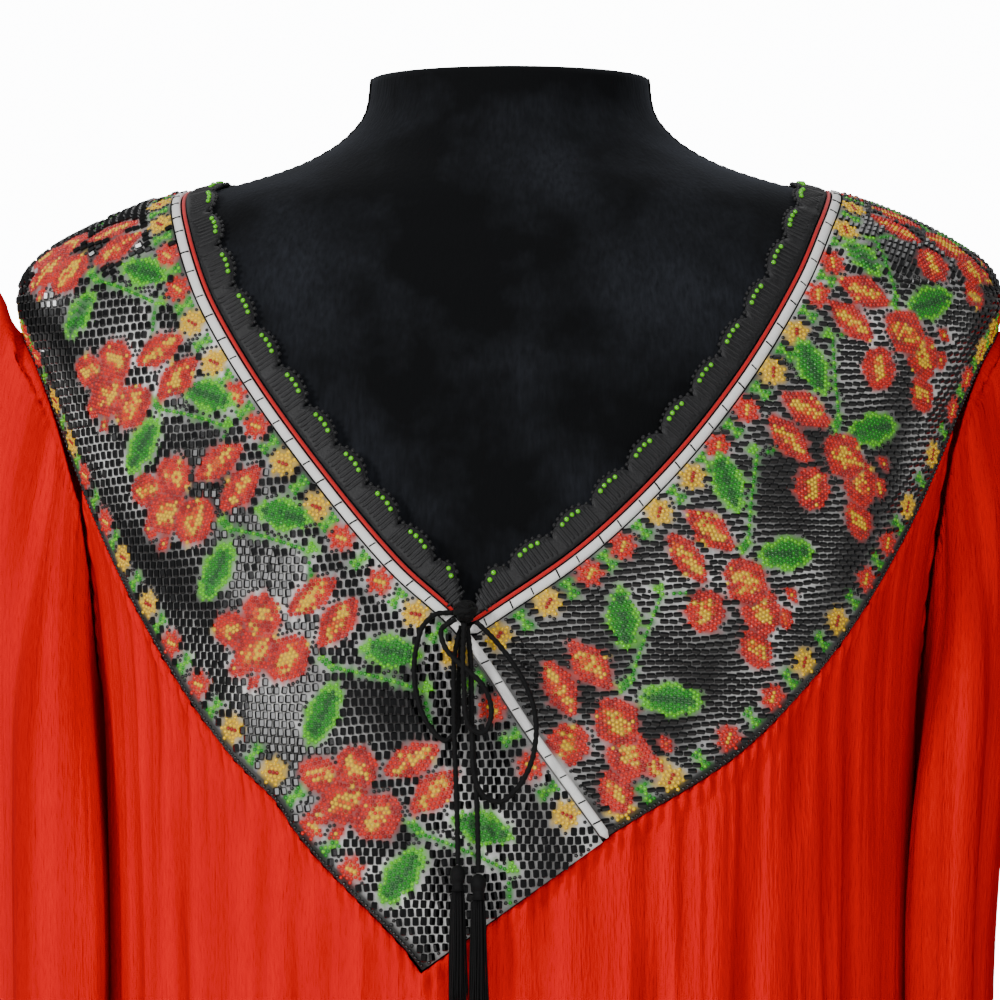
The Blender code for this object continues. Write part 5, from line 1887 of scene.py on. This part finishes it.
    def build(self) -> None:
        sheet = self.ground()
        cut = Scatter(self.name + "_cut_beads", Small.CUT, self.black_size[0], self.black_size[1],
                      taper=0.74, spread=0.05, seed=3)
        ball = Scatter(self.name + "_small_beads", Small.ROUND, self.small_radius, 1.5 * self.small_radius,
                       sides=5, rings=3, spread=0.06, seed=9)
        pieces = [
            add_piece(cut.name, cut.mesh(self.black, BLACK_GLASS), BLACK_GLASS),
            add_piece(ball.name, ball.mesh(self.small, COLOUR_GLASS), COLOUR_GLASS),
        ]
        counts = len(self.black.points), len(self.small.points)
        LOG.info("%s: %d cut beads, %d small beads", self.name, *counts)


@dataclass
class Flowers:
    """The flowers, leaves, stems and florets of the yoke."""

    yoke: Yoke
    bands: Sequence[BeadedBand]
    pitch: float = 1.62
    chance: np.random.Generator = field(default_factory=lambda: np.random.default_rng(21))
    clusters: tuple = (
        (57, 60), (132, 48), (192, 45), (240, 42), (300, 45), (363, 52), (414, 47), (465, 45), (516, 45),
        (567, 45), (618, 45), (669, 48), (720, 44), (771, 42), (822, 45), (879, 45), (939, 54),
    )
    inner_left: tuple = (15, 36, 60, 84, 105, 123, 144, 159, 180, 198, 213, 228, 246, 261, 276, 294)
    inner_right: tuple = (741, 759, 774, 792, 810, 828, 846, 861, 879, 897, 912, 930, 951)
    outer_left: tuple = (42, 63, 102, 126, 144, 162, 180, 201, 216, 234, 246, 261, 282)
    outer_right: tuple = (756, 771, 789, 810, 825, 840, 858, 876, 891, 909, 930, 948)

    def band_at(self, s: float) -> BeadedBand:
        """The strip that carries a station."""
        return self.bands[0] if s * MM < self.yoke.centre else self.bands[1]

    def build(self) -> None:
        """Sews everything, large shapes first."""
        for s, t in self.clusters:
            self.cluster(s, t)
        for index, (s, t) in enumerate(self.clusters):
            gap = s - self.clusters[index - 1][0] if index else 62
            self.leaves(s, t, gap)
        self.florets()

    def both(self, s: float, t: float, spots: Array, tints: Sequence) -> None:
        """Sews beads that may lie on either strip near the centre back."""
        for band in self.bands:
            if band is self.band_at(s) or abs(s * MM - self.yoke.centre) < 60 * MM:
                band.set_beads(s * MM, t * MM, spots, tints)

    def fill(self, s: float, t: float, shape: Shape, colour: Callable[[float, float], Sequence]) -> None:
        """Fills a shape with beads, coloured by their places in it."""
        spots, local = shape.fill(self.pitch)
        self.both(s, t, spots, [colour(*place) for place in local])

    def petal_colour(self, along: float, across: float) -> Sequence[float]:
        """Colours of a petal: red orange with some deeper red, and yellow streaks in the middle."""
        chance = self.chance.random()
        streak = math.hypot(along / 0.62, (across + 0.25 * along) / 0.36)
        if streak < 1 and chance < 0.86:
            return YELLOW if chance < 0.62 else ORANGE
        if chance > 0.97:
            return YELLOW
        return RED if chance < 0.34 else RED_ORANGE

    def leaf_colour(self, along: float, across: float) -> Sequence[float]:
        """Colours of a leaf: lime edge, green inside, emerald in the middle."""
        reach = math.hypot(along, across) + 0.12 * (self.chance.random() - 0.5)
        if reach > 0.74:
            return LIME
        return EMERALD if abs(across) < 0.28 and self.chance.random() < 0.8 else GREEN

    def cluster(self, s: float, t: float) -> None:
        """One red flower of petals."""
        left = s * MM < self.yoke.centre - 150 * MM
        right = s * MM > self.yoke.centre + 150 * MM
        spread = 1.0 if left else (-1.0 if right else 0.0)
        shapes = (
            Shape(4.6, -18.0, 23.0, 11.0, 8.0, 0.3),
            Shape(-9.0, -19.0, 22.0, 11.5, -8.0, 0.3),
            Shape(13.5, 0.0, 16.0, 14.5, 80.0),
            Shape(-5.6, 3.0, 18.5, 17.0, 0.0),
            Shape(1.3 + 4.2 * spread, 12.3 - 1.8 * spread, 19.0, 16.0, 20.0),
            Shape(13.5 + 5.2 * spread, 18.0 - 5.0 * spread, 16.0, 12.5, 30.0 + 20 * spread),
            Shape(-0.8 + 7.2 * spread, 21.6 - 1.6 * spread, 9.0, 6.5, 60.0),
            Shape(-9.3 + 7.0 * spread, 19.0, 6.0, 4.4, 0.0),
        )
        for shape in shapes:
            self.fill(s, t, shape, self.petal_colour)

    def leaves(self, s: float, t: float, gap: float) -> None:
        """Two leaves, a stem and a tuft before a flower."""
        left = s * MM < self.yoke.centre
        back = max(21.0, min(31.0, 0.47 * gap))
        lean = 51.0 if left else 27.0
        self.fill(s, t, Shape(-back, -26.5, 24.5, 11.5, lean, 0.35), self.leaf_colour)
        lean = -20.0 if left else -53.0
        self.fill(s, t, Shape(-back + 1.5, 7.0, 25.5, 11.5, lean, 0.35), self.leaf_colour)
        squeeze = back / 28.0
        stem = np.array(((-13, -6), (-19, -7), (-27, -13.4), (-37, -20.4), (-44, -25))) * (squeeze, 1)
        run = arc_lengths(stem)
        at = np.arange(0, run[-1], self.pitch)
        line = read_line(stem, run, at)
        for beside in (-0.8, 0.8):
            tints = [GREEN if k % 3 else LIME for k in range(len(line))]
            self.both(s, t, line + (0.4 * beside, beside), tints)
        tuft = np.array([
            (-45.0 * squeeze + (k - row / 2) * self.pitch, -26.0 - row * 1.45)
            for row in range(3) for k in range(row + 1)
        ])
        self.both(s, t, tuft, [LIME] * len(tuft))
        thin = np.array([(-46.5 * squeeze - 2.1 * k, -25.0 + 1.1 * k) for k in range(1, 5)])
        self.both(s, t, thin, [GREEN] * len(thin))

    def floret_places(self) -> list[tuple[float, float, bool]]:
        """Stations, distances out and whether yellow, for both rows of florets."""
        places = []
        rows = (
            (self.inner_left, self.inner_right, 25, 1, 8.6, (0, 1)),
            (self.outer_left, self.outer_right, 28, 0, None, (2, 3)),
        )
        for left, right, between, first, out, yellow in rows:
            middle = np.linspace(left[-1], right[0], between + 1)[1:-1]
            for index, s in enumerate([*left, *middle, *right]):
                width = float(self.yoke.width(np.array(s * MM))) / MM
                t = out if out is not None else min(85.0, width - 6.0)
                places.append((float(s), t, (index + first) % 4 in yellow))
        return places

    def florets(self) -> None:
        """Seven-petalled florets in yellow and red pairs, with green sprigs between them."""
        places = self.floret_places()
        spots = np.array([(0.0, 0.0)] + [
            (reach * math.sin(2 * math.pi * k / count), reach * math.cos(2 * math.pi * k / count))
            for reach, count in ((1.55, 6), (3.05, 12), (4.45, 7)) for k in range(count)
        ])
        for s, t, yellow in places:
            heart, leaf = (RED, YELLOW) if yellow else (YELLOW, RED_ORANGE)
            self.both(s, t, spots, [heart if k in (0, 2, 5) else leaf for k in range(len(spots))])
        sprig = np.array([
            (x * self.pitch, y * 1.5) for y in (-2, -1, 0, 1, 2)
            for x in (np.arange(abs(y) + 1) - abs(y) / 2)
        ])
        tints = [LIME if k % 2 else GREEN for k in range(len(sprig))]
        for (s0, t0, _), (s1, t1, _) in zip(places, places[1:]):
            if 0 < s1 - s0 < 45 and abs(t1 - t0) < 20:
                self.both((s0 + s1) / 2, (t0 + t1) / 2, sprig, tints)


@dataclass
class NeckTrim:
    """White rolled edge with its stitches, red piping and crocheted edging with lime beads."""

    yoke: Yoke
    stitch_pitch: float = 10 * MM
    bead_radius: float = 0.95 * MM

    def build(self) -> None:
        """Makes every trim."""
        self.white_edge()
        self.piping()
        self.edging()

    def along(self, start: float, stop: float, step: float, t: Array | float, lift: float,
              lapped: bool) -> tuple[Array, Array]:
        """A line on the yoke and the outward directions along it."""
        s = np.linspace(start, stop, max(8, round((stop - start) / step)))
        raised = np.where(s < self.yoke.centre, self.yoke.lift(s, np.full(len(s), 1.75 * MM)), 0.0)
        t = np.broadcast_to(np.asarray(t, float), s.shape)
        line = self.yoke.point(s, t, lift + (raised if lapped else 0.0))
        return line, settle(line, rounds=2)[1]

    def white_edge(self) -> None:
        """The rolled edge and the black blanket stitches over it."""
        stop = self.yoke.v_right - 0.8 * MM
        line, up = self.along(0.2 * MM, stop, 2.2 * MM, 1.75 * MM, 1.5 * MM, True)
        shape = tube_points(line, up, round_profile(1.72 * MM, 1.0 * MM), 12)
        edge = add_piece("white_neck_edge_roll", join_meshes("white_neck_edge", [shape]), WHITE_COTTON,
                         ["white_neck_edge"])
        stitches = Places()
        run = arc_lengths(line)
        for k in range(int(run[-1] / self.stitch_pitch)):
            at = (k + 0.5) * self.stitch_pitch
            i = int(np.searchsorted(run, at))
            ahead = unit(line[min(i + 1, len(line) - 1)] - line[i - 1])
            across = np.cross(up[i], ahead)
            stitches.add(line[i] + up[i] * 0.92 * MM, across + 0.18 * ahead, up[i], BLACK)
        stitch = Scatter("blanket_stitches", Small.CUT, 0.30 * MM, 3.1 * MM, taper=0.5, smooth=True,
                         spread=0.12)
        add_piece(stitch.name, stitch.mesh(stitches, BLACK_COTTON), BLACK_COTTON)
        LOG.info("%s: %.0f mm round", edge.name, run[-1] / MM)

    def piping(self) -> None:
        """The thin red piping."""
        start, stop = self.yoke.v_left + 3.4 * MM, self.yoke.v_right - 3.4 * MM
        line, up = self.along(start, stop, 2.5 * MM, -1.25 * MM, 1.15 * MM, False)
        shape = tube_points(line, up, round_profile(0.68 * MM, 0.75 * MM), 10)
        add_piece("red_piping_roll", join_meshes("red_piping", [shape]), RED_COTTON,
                  ["red_piping"])

    def depth(self, s: Array, start: float, stop: float, scallops: int) -> Array:
        """How deep the edging reaches into the neckline, mitred at the V."""
        wave = abs(np.sin(math.pi * scallops * (s - start) / (stop - start))) ** 0.6
        depth = EDGING_DEPTH[0] + (EDGING_DEPTH[1] - EDGING_DEPTH[0]) * wave
        room = np.minimum(s - self.yoke.v_left, self.yoke.v_right - s) * math.tan(V_HALF_ANGLE)
        return np.minimum(depth, np.maximum(room + EDGING_INNER - 0.3 * MM, 0.6 * MM))

    def edging(self) -> None:
        """The crocheted edging: a knit strip, its scalloped rims and a few lime beads in each."""
        start, stop = self.yoke.v_left + 6 * MM, self.yoke.v_right - 6 * MM
        scallops = round((stop - start) / SCALLOP_PITCH)
        s = np.linspace(start, stop, 16 * scallops + 1)
        depth = self.depth(s, start, stop, scallops)
        share = np.array([0.0, 0.2, 0.45, 0.7, 0.94])
        t = EDGING_INNER - depth[:, None] * share
        ripple = 0.18 * MM * np.sin(2 * math.pi * s / (2.4 * MM))[:, None] * np.sin(3 * math.pi * share)
        grid = self.yoke.point(np.repeat(s[:, None], len(share), 1), t, 1.2 * MM + ripple)
        item = add_piece("crochet_edging_strip", shell_mesh("crochet_edging", grid, 0.8 * MM, False),
                         CROCHET, ["crochet_edging"])
        parts = []
        for part, radius, lift in ((1.0, 0.75 * MM, 1.15 * MM), (0.62, 0.55 * MM, 1.5 * MM),
                                   (0.06, 0.6 * MM, 1.45 * MM)):
            line = self.yoke.point(s, EDGING_INNER - depth * part + radius * (part > 0.9), lift)
            up = settle(line, rounds=2)[1]
            knob = self.knotted(radius)
            parts.append(tube_points(line, up, knob, 6))
        add_piece("crochet_rims", join_meshes("crochet_rims", parts), CROCHET)
        bars, beads, knobs = Places(), Places(), Places()
        spots = partial(self.spots, start, stop, scallops)
        for at, reach, _ in spots(np.linspace(0.12, 0.88, 9), 4 * MM):
            a, b = (self.yoke.point(at, EDGING_INNER - reach * part, 1.85 * MM) for part in (0.1, 0.95))
            bars.add((a + b) / 2, b - a, settle(a[None], rounds=1)[1][0], BLACK)
        for at, reach, ahead in spots(np.linspace(0.06, 0.94, 8), 0.0):
            knob = self.yoke.point(at, EDGING_INNER - reach - 0.3 * MM, 1.3 * MM)
            knobs.add(knob, ahead, settle(knob[None], rounds=1)[1][0], BLACK)
        for at, reach, ahead in spots((0.30, 0.43, 0.57, 0.70), 8 * MM):
            bead = self.yoke.point(at, EDGING_INNER - reach + 2.2 * MM, 1.9 * MM + self.bead_radius * 0.6)
            beads.add(bead, settle(bead[None], rounds=1)[1][0], ahead, LIME)
        bar = Scatter("crochet_bars", Small.CUT, 0.55 * MM, 8.0 * MM, taper=0.6, smooth=True, spread=0.08)
        ball = Scatter("lime_beads", Small.ROUND, self.bead_radius, 1.6 * self.bead_radius, sides=8, rings=5)
        knot = Scatter("crochet_picots", Small.ROUND, 0.85 * MM, 1.5 * MM, sides=6, rings=4, spread=0.2)
        add_piece(bar.name, bar.mesh(bars, CROCHET), CROCHET)
        add_piece(knot.name, knot.mesh(knobs, CROCHET), CROCHET)
        add_piece(ball.name, ball.mesh(beads, COLOUR_GLASS), COLOUR_GLASS)
        LOG.info("%s: %d scallops, %d lime beads", item.name, scallops, len(beads.points))

    def spots(self, start: float, stop: float, scallops: int, shares: Sequence[float],
              least: float) -> Iterator[tuple[float, float, Array]]:
        """Stations at shares of every scallop that is deep enough there.

        Args:
            start: the edging's first station.
            stop: its last station.
            scallops: how many there are.
            shares: places along each scallop.
            least: depth below which a place is left out.

        Yields:
            The station, the edging's depth and the way ahead along the neckline.
        """
        for k in range(scallops):
            for share in shares:
                at = start + (k + share) * (stop - start) / scallops
                reach = float(self.depth(np.array([at]), start, stop, scallops)[0])
                if reach >= least:
                    yield at, reach, self.yoke.point(at + MM, 0.0) - self.yoke.point(at, 0.0)

    def knotted(self, radius: float) -> Callable[[Array, Array], Array]:
        """A yarn profile that swells at every stitch."""
        def profile(turn: Array, run: Array) -> Array:
            """Radii for each angle and run."""
            swell = radius * (0.82 + 0.22 * abs(np.sin(math.pi * run / (1.9 * MM)))) + 0.0 * turn
            return np.stack([swell, swell])
        return profile


@dataclass
class DressForm:
    """The black velvet form with its overlocked side seam."""

    columns: int = 96
    rows: int = 76
    stitch_pitch: float = 2.1 * MM
    slant: float = 0.75

    def surface(self, heights: Array, turn: Array) -> Array:
        """Points of the form at heights and angles."""
        width, depth, roundness = section(heights, np.sin(turn), FORM)
        width, depth = width - FORM_CLEARANCE, depth - FORM_CLEARANCE
        x = width * np.sign(np.cos(turn)) * abs(np.cos(turn)) ** (2 / roundness)
        y = depth * np.sign(np.sin(turn)) * abs(np.sin(turn)) ** (2 / roundness)
        return np.stack([x, y, heights], -1)

    def build(self) -> None:
        """Makes the form and its seam."""
        low = np.linspace(0, 0.6, self.rows // 3)
        high = np.linspace(0.6, 0.7304, self.rows - len(low) + 1)[1:]
        heights = np.r_[low, high]
        turn = np.linspace(0, 2 * math.pi, self.columns, endpoint=False)
        grid = self.surface(*np.broadcast_arrays(heights[:, None], turn[None]))
        points = grid.reshape(-1, 3)
        faces = [tuple(face) for face in grid_faces(len(heights), self.columns, True)]
        last = (len(heights) - 1) * self.columns
        faces += [tuple(range(self.columns))[::-1], tuple(last + k for k in range(self.columns))]
        form = add_piece("dress_form_velvet", closed_mesh("dress_form", points, faces), VELVET,
                         ["dress_form"])
        seam = Places()
        for hand in (0.0, math.pi):
            fine = np.linspace(0.7295, 0.60, 400)
            line = self.surface(fine, np.full(len(fine), hand))
            run = arc_lengths(line)
            for k, at in enumerate(np.arange(0, run[-1], self.stitch_pitch)):
                here = read_line(line, run, at)
                ahead = read_line(line, run, at + MM) - here
                if np.linalg.norm(ahead) < 1e-6:
                    continue
                ahead = unit(ahead)
                outward = unit(np.array([-ahead[2] * math.cos(hand), 0.0, abs(ahead[0])]) + 1e-9)
                slant = self.slant if k % 2 else -self.slant
                across = np.array([0.0, 1.0, 0.0]) + slant * ahead
                seam.add(here + outward * 0.3 * MM, across, outward, BLACK)
        stitch = Scatter("overlock_stitches", Small.CUT, 0.62 * MM, 4.6 * MM, taper=0.5, smooth=True)
        add_piece(stitch.name, stitch.mesh(seam, BLACK_COTTON), BLACK_COTTON)
        LOG.info("%s: %d seam stitches", form.name, len(seam.points))


def main() -> None:
    """Builds every piece in order."""
    logging.basicConfig(level=logging.INFO, format="%(name)s %(message)s")
    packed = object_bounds()
    Studio().build()
    LOG.info("camera and light")
    Tie().build()
    LOG.info("tie")
    yoke = Yoke()
    Gauze().build(yoke)
    left_map = BandMap(yoke, 0.0, yoke.centre - SEAM_GAP / 2)
    right_map = BandMap(yoke, yoke.centre + SEAM_GAP / 2, yoke.v_right + LAP_REACH)
    bands = (
        BeadedBand("beaded_band_left", yoke, left_map, None, -1),
        BeadedBand("beaded_band_right", yoke, right_map, left_map, 1, black_pitch=(3.3 * MM, 2.25 * MM),
                   black_size=(1.02 * MM, 3.15 * MM), upright=False),
    )
    Flowers(yoke, bands).build()
    for band in bands:
        band.edge_row()
        band.lattice()
        band.filler()
        band.build()
    NeckTrim(yoke).build()
    DressForm().build()
    boxes = {"cad": packed, "visual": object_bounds()}
    ({name: [[float(value) for value in corner] for corner in box]
               for name, box in boxes.items()})


if __name__ == "__main__":
    main()
